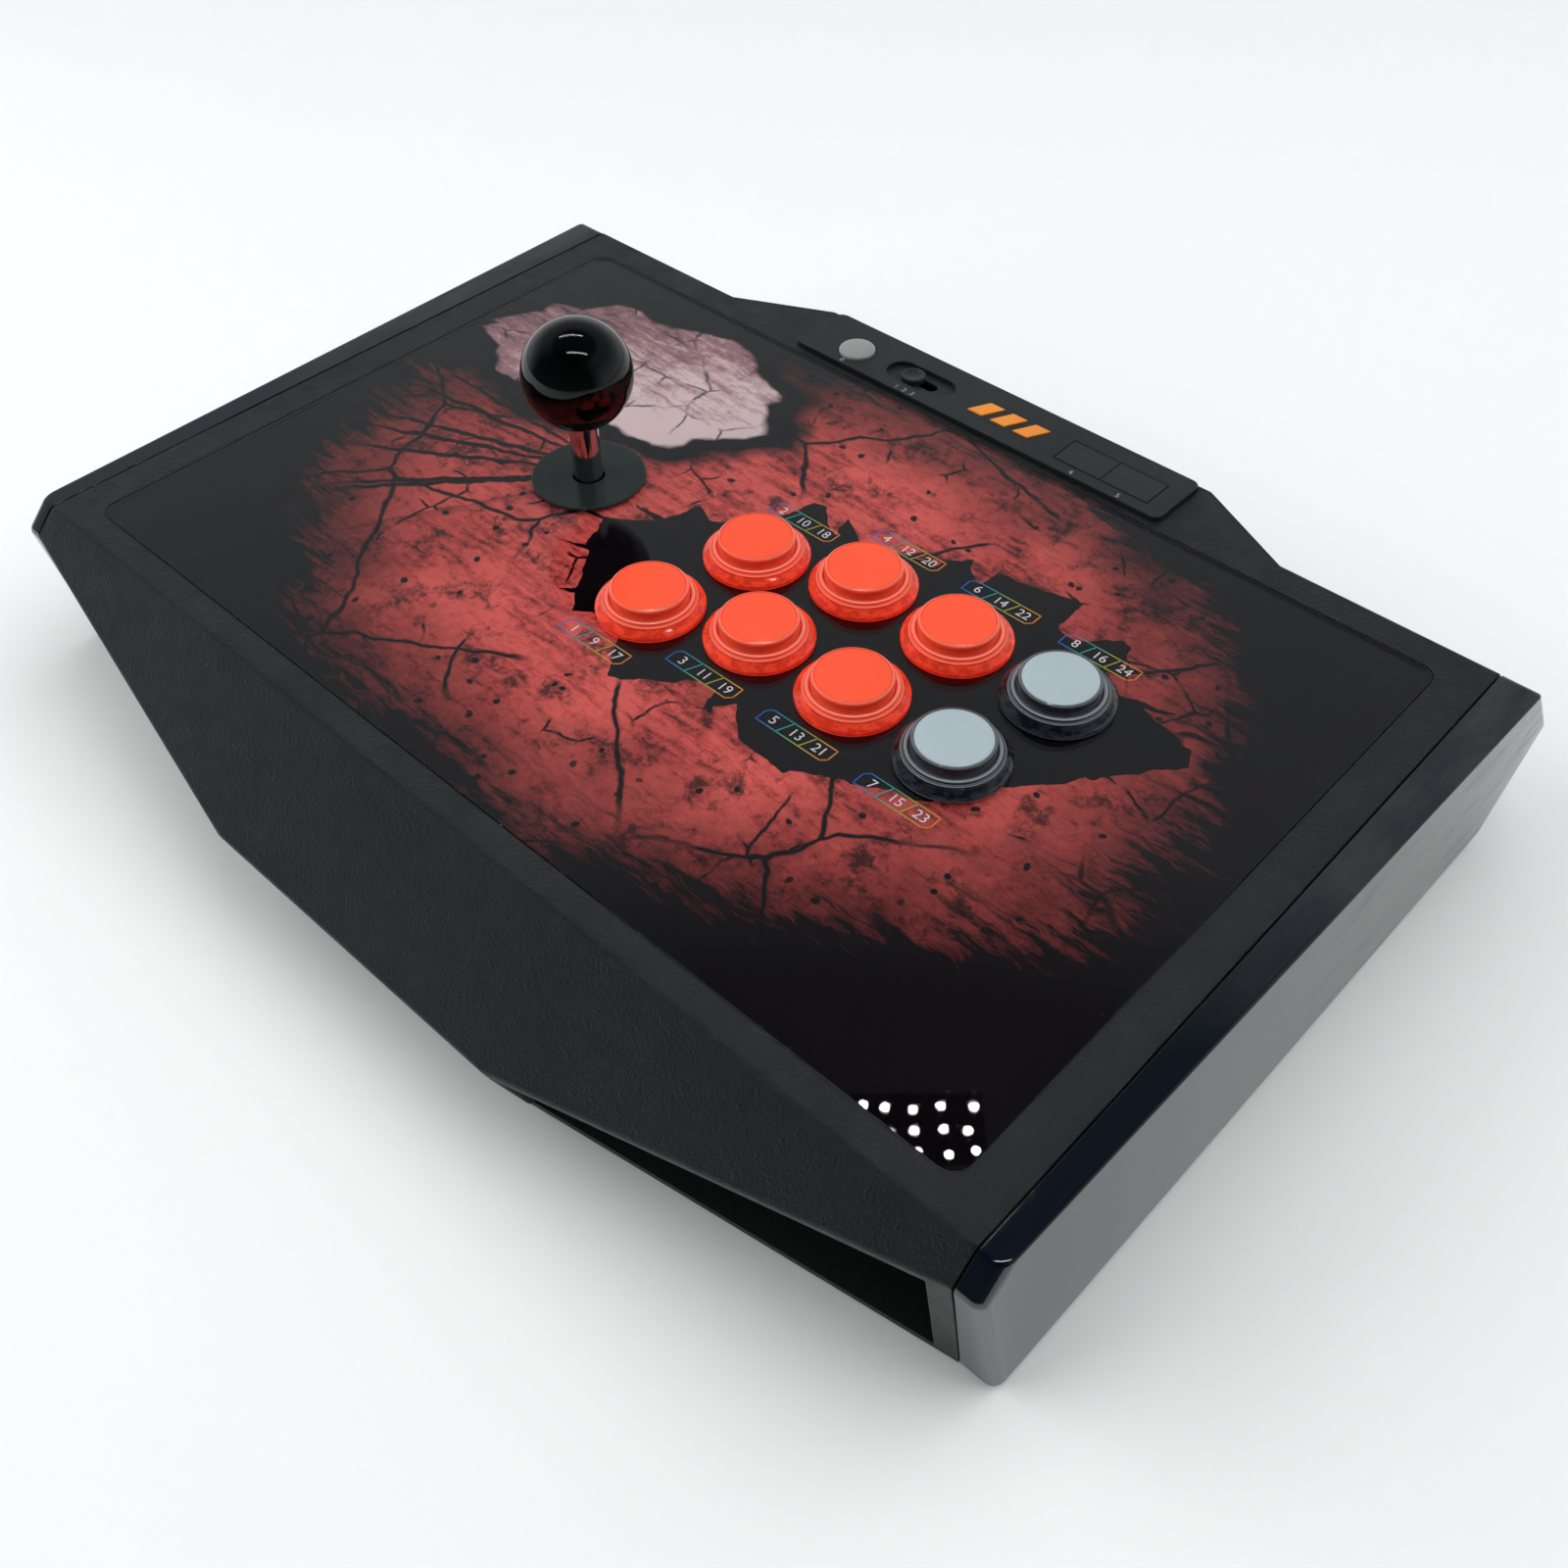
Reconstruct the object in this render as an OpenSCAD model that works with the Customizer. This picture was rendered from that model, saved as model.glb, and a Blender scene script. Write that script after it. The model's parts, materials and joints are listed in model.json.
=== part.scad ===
// Arcade joystick panel: an eight-button control box with a tilting ball-top lever.
// Origin: under the middle of the case, on the surface it stands on. +X right, +Y back, +Z up.

/* [Case] */
// Width of the case between the seams of its side caps
case_w = 375.2; // [370:0.4:384]
// Height of the flat top above the table
top_z = 60.5; // [59:0.5:64]
// Height of the underside above the table
base_z = 2; // [2:0.5:3]
// Y of the ridge between the flat top and the wrist slope
ridge_y = -114.5; // [-117:0.5:-112]
// Y of the front lip at the middle of the case
lip_y = -147.6; // [-150:0.2:-145]
// Z of the front lip at the middle of the case
lip_z = 29; // [27:0.5:31]
// Half width of the straight middle stretch of the front lip
lip_half = 57.8; // [52:0.2:64]
// Y of the front lip where it meets a side cap
corner_y = -122.2; // [-124:0.2:-121]
// Z of the front lip where it meets a side cap
corner_z = 52.8; // [51:0.2:54]
// Y of the bottom front edge at the middle of the case
foot_front_y = -136.6; // [-139:0.2:-134]
// Y of the bottom front edge at a side cap
foot_corner_y = -113.9; // [-116:0.1:-112]
// Y of the bottom rear edge
foot_rear_y = 123.6; // [120:0.2:128]
// Y of the rearmost edge
rear_y = 147.6; // [146:0.2:150]
// Z of the rearmost edge
rear_z = 32.5; // [30:0.5:36]
// Y of the top rear edge beside the console
rear_top_y = 124.1; // [122:0.1:126]
// Thickness of the moulded walls
wall = 2.5; // [2:0.1:3]

/* [Side caps] */
// Width of a side cap's top at its front end, from the seam
cap_slim = 7.6; // [6:0.1:10]
// Widest reach of a side cap from the middle of the case
cap_reach = 200.4; // [199:0.1:202]
// How much narrower the foot of a side cap is at its front end
cap_taper = 1.8; // [1:0.1:2.5]
// Height of the undercut along a side cap's bottom edge, at the rear
undercut_h = 12; // [8:0.5:14]
// Depth of that undercut
undercut_d = 2.2; // [1:0.1:3]

/* [Front pockets] */
// Outer end of each front pocket
pocket_out = 181; // [178:0.5:183]
// Inner end of each front pocket
pocket_in = 61; // [60:0.5:70]
// Depth of each front pocket behind the lip
pocket_d = 24; // [20:0.5:26]
// Height of the lip above each front pocket
lip_h = 3; // [2.5:0.1:4]

/* [Top panel] */
// Width of the printed top panel
panel_w = 350; // [346:0.5:352]
// Depth of the printed top panel
panel_d = 218.3; // [214:0.1:220]
// Y of the middle of the printed top panel
panel_y = 3.75; // [3:0.25:4.5]
// Corner radius of the printed top panel
panel_r = 5.5; // [4:0.5:8]
// Thickness of the clear sheet
clear_t = 1.8; // [1.5:0.1:1.9]
// Depth of the recess that holds the clear sheet and the printed sheet
panel_recess = 2; // [1.9:0.1:2.2]
// Thickness of the deck under that recess
deck_t = 2.5; // [2:0.1:3]

/* [Console] */
// Half width of the console block at its root
console_root = 116.8; // [114:0.2:120]
// Half width of the console block at its rear edge
console_half = 81.8; // [80:0.2:84]
// Y of the console block's rear edge
console_y = 141.4; // [140:0.2:143]
// Width of the raised control strip
strip_w = 154.6; // [150:0.2:158]
// Depth of the raised control strip
strip_d = 25.4; // [24:0.2:25.6]
// Y of the middle of the control strip
strip_y = 128.6; // [128.2:0.1:129]
// How far the control strip stands above the flat top
strip_up = 1.5; // [1:0.1:2]
// Thickness of the control strip
strip_t = 2.5; // [2.5:0.1:3]
// X of the round home button
home_x = -56.3; // [-58:0.1:-55]
// Y of the round home button
home_y = 126; // [125:0.1:127]
// Radius of the round home button
home_r = 6.5; // [6:0.1:6.8]
// X of the mode selector's slot
mode_x = -27.8; // [-29:0.1:-27]
// Length of the mode selector's recess
mode_l = 27.7; // [26:0.1:28]
// Width of the mode selector's recess
mode_w = 11.5; // [11:0.1:12]
// Distance between the mode selector's three places
mode_step = 3.4; // [3:0.1:4.4]
// X of the line between the two function keys
keys_x = 51.6; // [51:0.1:53]
// Width of one function key
key_w = 18; // [17:0.1:18.2]
// Depth of one function key
key_d = 12; // [11:0.1:12.4]
// Y of the middle of the console's controls
controls_y = 127; // [126.5:0.1:127.5]
// Travel of the console's keys
key_travel = 1; // [0.6:0.1:1.2]

/* [Push buttons] */
// Radius of a push button's flange
flange_r = 16.65; // [16.4:0.05:16.8]
// Radius of the hole each push button sits in
button_hole_r = 15; // [14.9:0.05:15.1]
// Radius of a push button's plunger
plunger_r = 12; // [11.8:0.1:12.2]
// Height of a resting plunger above the panel
plunger_up = 8; // [7:0.5:8.5]
// Height of the collar round the plunger
collar_up = 4.5; // [4:0.1:5]
// Travel of a push button
button_travel = 3.5; // [3:0.1:3.8]

/* [Lever] */
// X of the lever's axis
lever_x = -72.6; // [-75:0.1:-70]
// Y of the lever's axis
lever_y = 12.4; // [10:0.1:15]
// Height of the lever's pivot
pivot_z = 40; // [39.5:0.1:40.5]
// Radius of the lever's shaft
shaft_r = 4.75; // [4.6:0.01:4.8]
// Radius of the ball top
ball_r = 17.5; // [16:0.25:18]
// Height of the ball top's centre above the flat top
ball_up = 38.4; // [36:0.2:40]
// Radius of the dust washer
washer_r = 18.65; // [18:0.05:19]
// Largest tilt of the lever each way
tilt_max = 8; // [6:0.5:8]

/* [Hidden] */

$fn = 64;
eps = 0.01;
seam_x = case_w / 2;
plate_t = 2;                       // bottom cover's thickness
plate_z = base_z + plate_t;
deck_z = top_z - panel_recess;     // top of the deck
under_z = deck_z - deck_t;         // underside of the deck
button_at = [[-11.3, -18.5], [-4.2, 19.8], [22.2, -6.8], [29.3, 31.2],
             [58.2, -6.8], [65.3, 31.2], [94.2, -6.8], [101.3, 31.2]];
ember = [0.93, 0.27, 0.16];
slate = [0.50, 0.57, 0.63];
plastic = [0.09, 0.095, 0.10];
board_green = [0.06, 0.28, 0.14];
panel_clear = 0.15;                // gap round the clear sheet
fit_gap = 0.05;                    // running gap of a shaft in its bore

// Points of a polygon moved inwards by t, corners mitred; the points run anticlockwise
function unit(v) = v / norm(v);
function left_of(a, b) = let (d = unit(b - a)) [-d[1], d[0]];
function inset(p, t) = [for (i = [0:len(p) - 1])
    let (a = p[(i + len(p) - 1) % len(p)], b = p[i], c = p[(i + 1) % len(p)],
         m = left_of(a, b), n = left_of(b, c))
    b + t * (m + n) / (1 + m * n)];

// Outlines in (y, z) of the case's middle, of its console block and of its ends
middle_outline = [[foot_front_y, base_z], [foot_rear_y, base_z], [rear_y, rear_z],
                  [rear_top_y, top_z], [ridge_y, top_z], [lip_y, lip_z]];
console_outline = [[foot_front_y, base_z], [foot_rear_y, base_z], [rear_y, rear_z],
                   [console_y, top_z], [ridge_y, top_z], [lip_y, lip_z]];
end_outline = [[foot_corner_y, base_z], [foot_rear_y, base_z], [rear_y, rear_z],
               [rear_top_y, top_z], [ridge_y, top_z], [corner_y, corner_z]];
// Outlines in (x, y) of the case and of its console block
plan_outline = [[-seam_x, corner_y], [-lip_half, lip_y], [lip_half, lip_y], [seam_x, corner_y],
                [seam_x, rear_y + 20], [-seam_x, rear_y + 20]];
console_slope = (console_y - rear_top_y) / (console_root - console_half);
console_tip = console_half - (rear_y - console_y) / console_slope;
console_plan = [[-console_root, 0], [console_root, 0], [console_root, rear_top_y],
                [console_tip, rear_y], [-console_tip, rear_y], [-console_root, rear_top_y]];
// The tapered front wall lies in one plane through the lip's ends and the foot's corner
wall_normal = unit(cross([0, foot_corner_y - corner_y, base_z - corner_z],
                         [lip_half - seam_x, lip_y - corner_y, lip_z - corner_z]));
wall_turn = atan2(-wall_normal[0], wall_normal[1]);
wall_lean = asin(wall_normal[2]);

module along_x(w) rotate([90, 0, 90]) linear_extrude(w, center = true) children();
module along_y(l) rotate([90, 0, 0]) linear_extrude(l, center = true) children();
module both_sides() { children(); mirror([1, 0, 0]) children(); }
module rounded(w, d, r) {
    square([w - 2 * r, d], center = true);
    square([w, d - 2 * r], center = true);
    for (x = [-1, 1], y = [-1, 1]) translate([x * (w / 2 - r), y * (d / 2 - r)]) circle(r);
}
module slot(l, w) {
    square([l - w, w], center = true);
    for (x = [-1, 1]) translate([x * (l - w) / 2, 0]) circle(w / 2);
}
module at_panel() translate([0, panel_y, 0]) children();
module at_lever() translate([lever_x, lever_y, 0]) children();
module at_buttons() for (p = button_at) translate([p[0], p[1], 0]) children();

// Everything in front of a tapered wall's plane, on the right
module ahead_of_wall(t) translate([seam_x, corner_y, corner_z])
    rotate([wall_lean, 0, wall_turn]) translate([-300, t - 80, -200]) cube([420, 80, 320]);

// The case as a solid, all faces moved inwards by t
module case_solid(t) difference() {
    union() {
        intersection() {
            along_x(case_w - 2 * t) polygon(inset(middle_outline, t));
            linear_extrude(top_z) polygon(inset(plan_outline, t));
        }
        intersection() {
            along_x(case_w) polygon(inset(console_outline, t));
            linear_extrude(top_z) polygon(inset(console_plan, t));
        }
    }
    both_sides() ahead_of_wall(t);
}

// A front pocket's space, grown by g on every side but the front
module pocket_space(g) {
    roof_slope = (corner_z - lip_z) / (seam_x - lip_half);
    plan_slope = (corner_y - lip_y) / (seam_x - lip_half);
    x0 = pocket_in - g;
    x1 = pocket_out + g;
    roof = [for (x = [x0, x1]) lip_z - lip_h + g + (x - lip_half) * roof_slope];
    back = [for (x = [x0, x1]) lip_y + pocket_d + g + (x - lip_half) * plan_slope];
    intersection() {
        translate([0, lip_y + 30, 0]) along_y(70)
            polygon([[x0, plate_z - 1], [x1, plate_z - 1], [x1, roof[1]], [x0, roof[0]]]);
        linear_extrude(top_z) polygon([[x0, lip_y - 5], [x1, lip_y - 5], [x1, back[1]], [x0, back[0]]]);
    }
}

deck_boss = [[176, 100], [176, -78], [100, 117], [20, -128]];   // right-hand half
module at_deck_bosses() both_sides() for (p = deck_boss) translate([p[0], p[1], 0]) children();
lever_screw = [42, 20];            // half spacing of the mounting plate's screws
module at_lever_screws() at_lever() for (x = [-1, 1], y = [-1, 1])
    translate([x * lever_screw[0], y * lever_screw[1], 0]) children();
lever_boss_h = 4;
boss_r = 4.5;                      // radius of the screw bosses
deck_margin = 8;                   // how far the deck runs on under the frame
screw_r = 1.5;
jack_x = -40;
grommet_x = 30;
port_z = 20;
port_seat = 14;                    // side of the square seat cut for each rear socket
port_wall = 9;                     // thickness of the wall behind the seats
port_pad_w = 110;
port_pad_h = 22;
port_r = 5;                        // radius of the rear sockets' holes
rear_slope = (rear_y - foot_rear_y) / (rear_z - base_z);
seat_y = foot_rear_y + (port_z - 1 - port_seat / 2 - base_z) * rear_slope;

module top_cover() color(plastic) difference() {
    union() {
        difference() {
            case_solid(0);
            case_solid(wall);
            // the underside is open for the bottom cover
            translate([0, 0, base_z - eps]) linear_extrude(wall + 2 * eps) polygon(inset(plate_plan, wall));
        }
        intersection() {
            case_solid(0);
            union() {
                both_sides() pocket_space(wall);
                at_panel() translate([0, 0, under_z]) linear_extrude(deck_t)
                    square([panel_w + deck_margin, panel_d + deck_margin], center = true);
                translate([0, strip_y, under_z]) linear_extrude(deck_t + 1)
                    square([strip_w + 6, strip_d + 2], center = true);
                at_deck_bosses() translate([0, 0, plate_z]) cylinder(h = under_z - plate_z + 1, r = boss_r);
                at_lever_screws() translate([0, 0, under_z - lever_boss_h])
                    cylinder(h = lever_boss_h + 2, r = boss_r);
                // upright pad for the two rear sockets
                translate([(jack_x + grommet_x) / 2, seat_y + 10 - port_wall, port_z])
                    cube([port_pad_w, 20, port_pad_h], center = true);
            }
        }
    }
    translate([0, 0, base_z - eps]) linear_extrude(plate_t + eps) square([500, 400], center = true);
    both_sides() pocket_space(0);
    at_panel() translate([0, 0, deck_z]) linear_extrude(10) rounded(panel_w, panel_d, panel_r);
    at_buttons() translate([0, 0, under_z - 1]) cylinder(h = 10, r = button_hole_r);
    at_lever() translate([0, 0, under_z - 1]) cylinder(h = 10, r = lever_hole_r);
    at_deck_bosses() translate([0, 0, plate_z - 1]) cylinder(h = 18, r = screw_r);
    at_lever_screws() translate([0, 0, under_z - lever_boss_h - 1]) cylinder(h = 6.5, r = screw_r);
    // seat and window of the control strip
    translate([0, strip_y, top_z + strip_up - strip_t]) linear_extrude(10) rounded(strip_w, strip_d, 3);
    translate([0, strip_y - 1, under_z - 1]) linear_extrude(10)
        square([strip_w - 12, strip_d - 6], center = true);
    // rear sockets: flat seats and their holes
    for (x = [jack_x, grommet_x]) {
        translate([x, seat_y + 10, port_z]) cube([18, 20, port_seat], center = true);
        translate([x, seat_y, port_z]) rotate([90, 0, 0]) cylinder(h = 40, r = port_r, center = true);
    }
}

plate_plan = [[-seam_x, foot_corner_y], [-lip_half, foot_front_y], [lip_half, foot_front_y],
              [seam_x, foot_corner_y], [seam_x, foot_rear_y], [-seam_x, foot_rear_y]];
foot_at = [[150, 104], [150, -98], [48, -118]];                 // right-hand half
board_at = [85, 78];
board_post = [50, 18];
module at_board_posts() for (x = [-1, 1], y = [-1, 1])
    translate([board_at[0] + x * board_post[0], board_at[1] + y * board_post[1], 0]) children();

post_h = 4;                        // height of the board's posts and of the locating ribs
module bottom_cover() color([0.06, 0.06, 0.065]) difference() {
    union() {
        translate([0, 0, base_z]) linear_extrude(plate_t) polygon(plate_plan);
        at_board_posts() translate([0, 0, plate_z - eps]) cylinder(h = post_h + eps, r = 3.5);
        // locating ribs inside the long walls
        translate([0, foot_rear_y - 5, plate_z + post_h / 2 - eps])
            cube([160, 2, post_h + eps], center = true);
        both_sides() translate([seam_x - wall - 2.2, 15, plate_z + post_h / 2 - eps])
            cube([2, 150, post_h + eps], center = true);
    }
    at_board_posts() translate([0, 0, plate_z + 0.5]) cylinder(h = 10, r = 1.1);
    at_deck_bosses() {
        translate([0, 0, base_z - 1]) cylinder(h = 10, r = 1.7);
        translate([0, 0, base_z - eps]) cylinder(h = 1.2, r = 3.2);
    }
    // shallow seats for the feet
    both_sides() for (p = foot_at) translate([p[0], p[1], base_z - eps]) cylinder(h = 0.6, r = 8.2);
}

module side_cap() {
    cap_front = cap_reach - cap_taper;
    cap_hollow = 5.5;              // the hollow's depth from the seam
    lean = cap_front - seam_x - cap_slim;
    difference() {
        intersection() {
            translate([seam_x + 10, 0, 0]) along_x(20) polygon(end_outline);
            linear_extrude(top_z) polygon([[seam_x, corner_y - 5], [cap_front, corner_y - 5],
                                           [cap_front, corner_y], [cap_reach, rear_top_y],
                                           [cap_reach, rear_y + 5], [seam_x, rear_y + 5]]);
        }
        // side that leans in towards the top, most at the front
        translate([cap_reach, rear_top_y, top_z])
            rotate([0, 0, -atan2(cap_reach - seam_x - cap_slim, rear_top_y - corner_y)])
            rotate([0, -atan2(lean, top_z - base_z), 0])
            translate([0, -300, -80]) cube([12, 400, 100]);
        // hollow, open towards the case
        translate([seam_x - eps + cap_hollow / 2, 0, 0])
            along_x(cap_hollow) polygon(inset(end_outline, wall + 0.5));
        // undercut that deepens towards the rear
        translate([cap_reach, rear_y, base_z])
            rotate([0, 0, atan2(undercut_d, rear_y - foot_corner_y - 90)])
            rotate([0, atan2(undercut_d, undercut_h), 0])
            translate([0, -(rear_y - foot_corner_y), -20]) cube([12, 300, 20 + undercut_h]);
    }
    // two ribs that stiffen the hollow and end flush with the seam
    for (y = [-60, 80]) translate([seam_x, y - 6, 24]) cube([cap_reach - seam_x - 3, 12, 3]);
}
module right_side_cap() color([0.03, 0.03, 0.04]) side_cap();
module left_side_cap() color([0.03, 0.03, 0.04]) mirror([1, 0, 0]) side_cap();

lever_hole_r = 12;
module panel_cutouts(r_add) {
    at_buttons() circle(button_hole_r + r_add);
    at_lever() circle(lever_hole_r + r_add);
}
module artwork_sheet() color([0.62, 0.16, 0.15]) translate([0, 0, deck_z])
    linear_extrude(panel_recess - clear_t) difference() {
        at_panel() rounded(panel_w - 2 * panel_clear, panel_d - 2 * panel_clear, panel_r);
        panel_cutouts(0);
    }
module clear_panel() color([0.8, 0.8, 0.85, 0.3]) translate([0, 0, top_z - clear_t])
    linear_extrude(clear_t) difference() {
        at_panel() rounded(panel_w - 2 * panel_clear, panel_d - 2 * panel_clear, panel_r);
        panel_cutouts(0);
    }

strip_top = top_z + strip_up;
key_gap = 0.3;
key_pitch = key_w + key_gap;
module console_strip() color([0.10, 0.105, 0.11]) difference() {
    translate([0, strip_y, strip_top - strip_t]) linear_extrude(strip_t)
        rounded(strip_w - 0.3, strip_d - 0.3, 3);
    translate([home_x, home_y, top_z - 5]) cylinder(h = 10, r = home_r + key_gap);
    // selector's recess, and the slot its stem runs in
    translate([mode_x, controls_y, strip_top - 1.5]) linear_extrude(5) slot(mode_l, mode_w);
    translate([mode_x, controls_y, top_z - 5]) linear_extrude(10) slot(14, 4.4);
    translate([keys_x, controls_y, top_z - 5]) linear_extrude(10)
        square([2 * key_w + 3 * key_gap, key_d + 2 * key_gap], center = true);
    // seat of the emblem
    translate([10, controls_y + 0.5, strip_top - 0.4]) linear_extrude(5) emblem_outline(0.05);
}
// A plain three-bar mark that leans to the right
module emblem_outline(g) for (i = [-1, 0, 1]) translate([i * 9.5, 0])
    polygon([[-5 - g, -4 - g], [1 + g, -4 - g], [5 + g, 4 + g], [-1 - g, 4 + g]]);
module console_emblem() color([0.96, 0.55, 0.16]) translate([10, controls_y + 0.5, strip_top - 0.4])
    linear_extrude(0.8) emblem_outline(0);

board_top = 52.5;                  // top of the console's board
dome_h = 1.2;                      // height of the switch domes on it
key_rest_z = board_top + dome_h + key_travel + 0.1;
module home_button() color([0.72, 0.73, 0.74]) translate([home_x, home_y, 0]) {
    rotate_extrude() polygon(concat(
        [[0, strip_top - 4.4], [home_r, strip_top - 4.4], [home_r, strip_top + 0.8]],
        [for (a = [15:15:90]) [home_r * cos(a), strip_top + 0.8 + 1.2 * sin(a)]]));
    rotate_extrude() translate([0, strip_top - 4.5]) square([home_r + 0.9, 0.8]);
    translate([0, 0, key_rest_z]) cylinder(h = strip_top - 4.2 - key_rest_z, r = 1.5);
}
module function_key(x) translate([x, controls_y, 0]) {
    translate([0, 0, strip_top - 3.6]) linear_extrude(3.7) square([key_w, key_d], center = true);
    // ledge that keeps the key under the strip
    translate([0, 0, strip_top - 3.6]) linear_extrude(0.9) square([key_w, key_d + 2], center = true);
    translate([0, 0, key_rest_z]) cylinder(h = strip_top - 3.5 - key_rest_z, r = 1.5);
}
module turbo_button() color([0.12, 0.125, 0.13]) function_key(keys_x - key_pitch / 2);
module macro_button() color([0.12, 0.125, 0.13]) function_key(keys_x + key_pitch / 2);
module mode_selector() color([0.14, 0.145, 0.15]) translate([mode_x - mode_step, controls_y, 0]) {
    translate([0, 0, strip_top - 1.45]) cylinder(h = 1.9, r = 4.3);
    translate([0, 0, board_top + 2.6]) cylinder(h = strip_top - board_top - 4, r = 2);
}
module console_board() color(board_green) {
    translate([0, controls_y, board_top - 1.6]) linear_extrude(1.6) square([154, 15], center = true);
    for (p = [[home_x, home_y], [keys_x - key_pitch / 2, controls_y], [keys_x + key_pitch / 2, controls_y]])
        translate([p[0], p[1], board_top - eps]) cylinder(h = dome_h, r = 1.8);
    translate([mode_x, controls_y, board_top + 1.2]) cube([18, 6, 2.4 + eps], center = true);
    // posts that reach up to the cover beside the window
    both_sides() translate([74, controls_y, board_top - eps]) cylinder(h = under_z - board_top + eps, r = 2);
}

module main_board() color(board_green) translate([board_at[0], board_at[1], plate_z + post_h]) {
    difference() {
        linear_extrude(1.6) square([112, 44], center = true);
        for (x = [-1, 1], y = [-1, 1]) translate([x * board_post[0], y * board_post[1], -1])
            cylinder(h = 4, r = 1.6);
    }
    translate([0, 0, 2.4]) cube([14, 14, 1.7], center = true);
    for (i = [-3:3]) translate([i * 12, -16, 4.5]) cube([9, 5, 6], center = true);
    translate([-38, 6, 3]) cube([8, 20, 3], center = true);
    for (x = [26, 34]) translate([x, 8, 1.5]) cylinder(h = 8, r = 3);
}

// Sockets in the rear wall, mouths outwards
module at_port(x) translate([x, seat_y, port_z]) rotate([-90, 0, 0]) children();
module audio_jack() color([0.05, 0.05, 0.055]) at_port(jack_x) difference() {
    union() {
        cylinder(h = 1.5, r = 6);
        translate([0, 0, -port_wall - 1]) cylinder(h = port_wall + 2, r = port_r - fit_gap);
        translate([0, 0, -port_wall - 10]) linear_extrude(9.95) square([12, 10], center = true);
    }
    translate([0, 0, -14]) cylinder(h = 20, r = 1.8);
}
module cable_grommet() color([0.04, 0.04, 0.04]) at_port(grommet_x) difference() {
    union() {
        cylinder(h = 2.5, r = 6.6);
        translate([0, 0, -port_wall - 1]) cylinder(h = port_wall + 2, r = port_r - fit_gap);
        translate([0, 0, -port_wall - 3]) cylinder(h = 3 - fit_gap, r = 6.6);
    }
    translate([0, 0, -20]) cylinder(h = 40, r = 2.4);
}

module rubber_feet() color([0.03, 0.03, 0.03]) both_sides() for (p = foot_at)
    translate([p[0], p[1], 0]) cylinder(h = base_z + 0.5, r = 8);
module bottom_screws() color([0.35, 0.35, 0.37]) at_deck_bosses() difference() {
    union() {
        translate([0, 0, base_z + 0.1]) cylinder(h = 1.09, r = 3);
        translate([0, 0, base_z + 1]) cylinder(h = 14, r = screw_r - fit_gap);
    }
    translate([0, 0, base_z]) cylinder(h = 0.9, r = 1.2, $fn = 6);
}
module internal_screws() color([0.62, 0.62, 0.64]) {
    at_lever_screws() {
        translate([0, 0, mount_z - 2]) cylinder(h = 2, r = 3);
        translate([0, 0, mount_z - 1]) cylinder(h = 7.5, r = screw_r - fit_gap);
    }
    at_board_posts() {
        translate([0, 0, plate_z + 5.6]) cylinder(h = 1.4, r = 2.4);
        translate([0, 0, plate_z + 1.5]) cylinder(h = 5, r = 1.05);
    }
    at_lever() at_posts() {
        translate([0, 0, gate_z - 1.2]) cylinder(h = 1.2, r = 2.2);
        translate([0, 0, gate_z - 1]) cylinder(h = 6, r = post_bore - fit_gap);
    }
}

// Push buttons: flanged housing, moving plunger and the disc that caps it
housing_low = top_z - 20;
lip_bore = plunger_r + 0.3;
well_r = plunger_r + 1.4;
lip_z_in = top_z + 1.8;            // underside of the collar's inner lip
disc_t = 1.5;                      // thickness of the disc that caps a plunger
skirt_low = lip_z_in - 11;
led_board_t = 1.6;
switch_top = housing_low - led_board_t;
pin_h = 2.4;                       // how far a microswitch's pin stands up
stem_low = switch_top + pin_h + button_travel + 0.2;
module at_button(i) translate([button_at[i][0], button_at[i][1], 0]) children();
module cap_colour(i) color(i < 6 ? ember : slate) children();

module rim_colour(i) color(i < 6 ? [0.98, 0.33, 0.20] : [0.20, 0.22, 0.25]) children();

module button_housing(i) rim_colour(i) at_button(i) rotate_extrude()
    polygon([[well_r, housing_low], [button_hole_r - 0.2, housing_low], [button_hole_r - 0.2, top_z],
             [flange_r, top_z], [flange_r, top_z + 1.2], [flange_r - 0.4, top_z + 1.6],
             [14.4, top_z + 2.6], [14, top_z + collar_up - 0.3], [13.7, top_z + collar_up],
             [lip_bore, top_z + collar_up], [lip_bore, lip_z_in], [well_r, lip_z_in]]);
module button_plunger(i) cap_colour(i) at_button(i) rotate_extrude() {
    z1 = top_z + plunger_up;
    polygon([[0, lip_z_in - 3], [well_r - 0.4, lip_z_in - 3], [well_r - 0.4, lip_z_in - 0.2],
             [plunger_r, lip_z_in - 0.2], [plunger_r, z1 - 0.8], [plunger_r - 0.8, z1],
             [plunger_r - 1.4, z1], [plunger_r - 1.4, z1 - disc_t - 0.1], [0, z1 - disc_t - 0.1]]);
    // stem that reaches the microswitch, with a skirt round it
    translate([0, stem_low]) square([2.5, lip_z_in - 2 - stem_low]);
    translate([well_r - 2, skirt_low]) square([1.4, lip_z_in - 2 - skirt_low]);
}
module button_insert(i) cap_colour(i) at_button(i)
    translate([0, 0, top_z + plunger_up - disc_t - 0.1]) cylinder(h = disc_t, r = plunger_r - 1.5);
module button_microswitches() color([0.10, 0.10, 0.11]) at_buttons() {
    translate([0, 0, switch_top - 5]) cube([19.8, 6.4, 10], center = true);
    translate([0, 0, switch_top - eps]) cylinder(h = pin_h, r = 1.2);
    for (x = [-7, 0, 7]) translate([x, 0, switch_top - 12]) cube([0.6, 3.2, 4.1], center = true);
}
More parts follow.
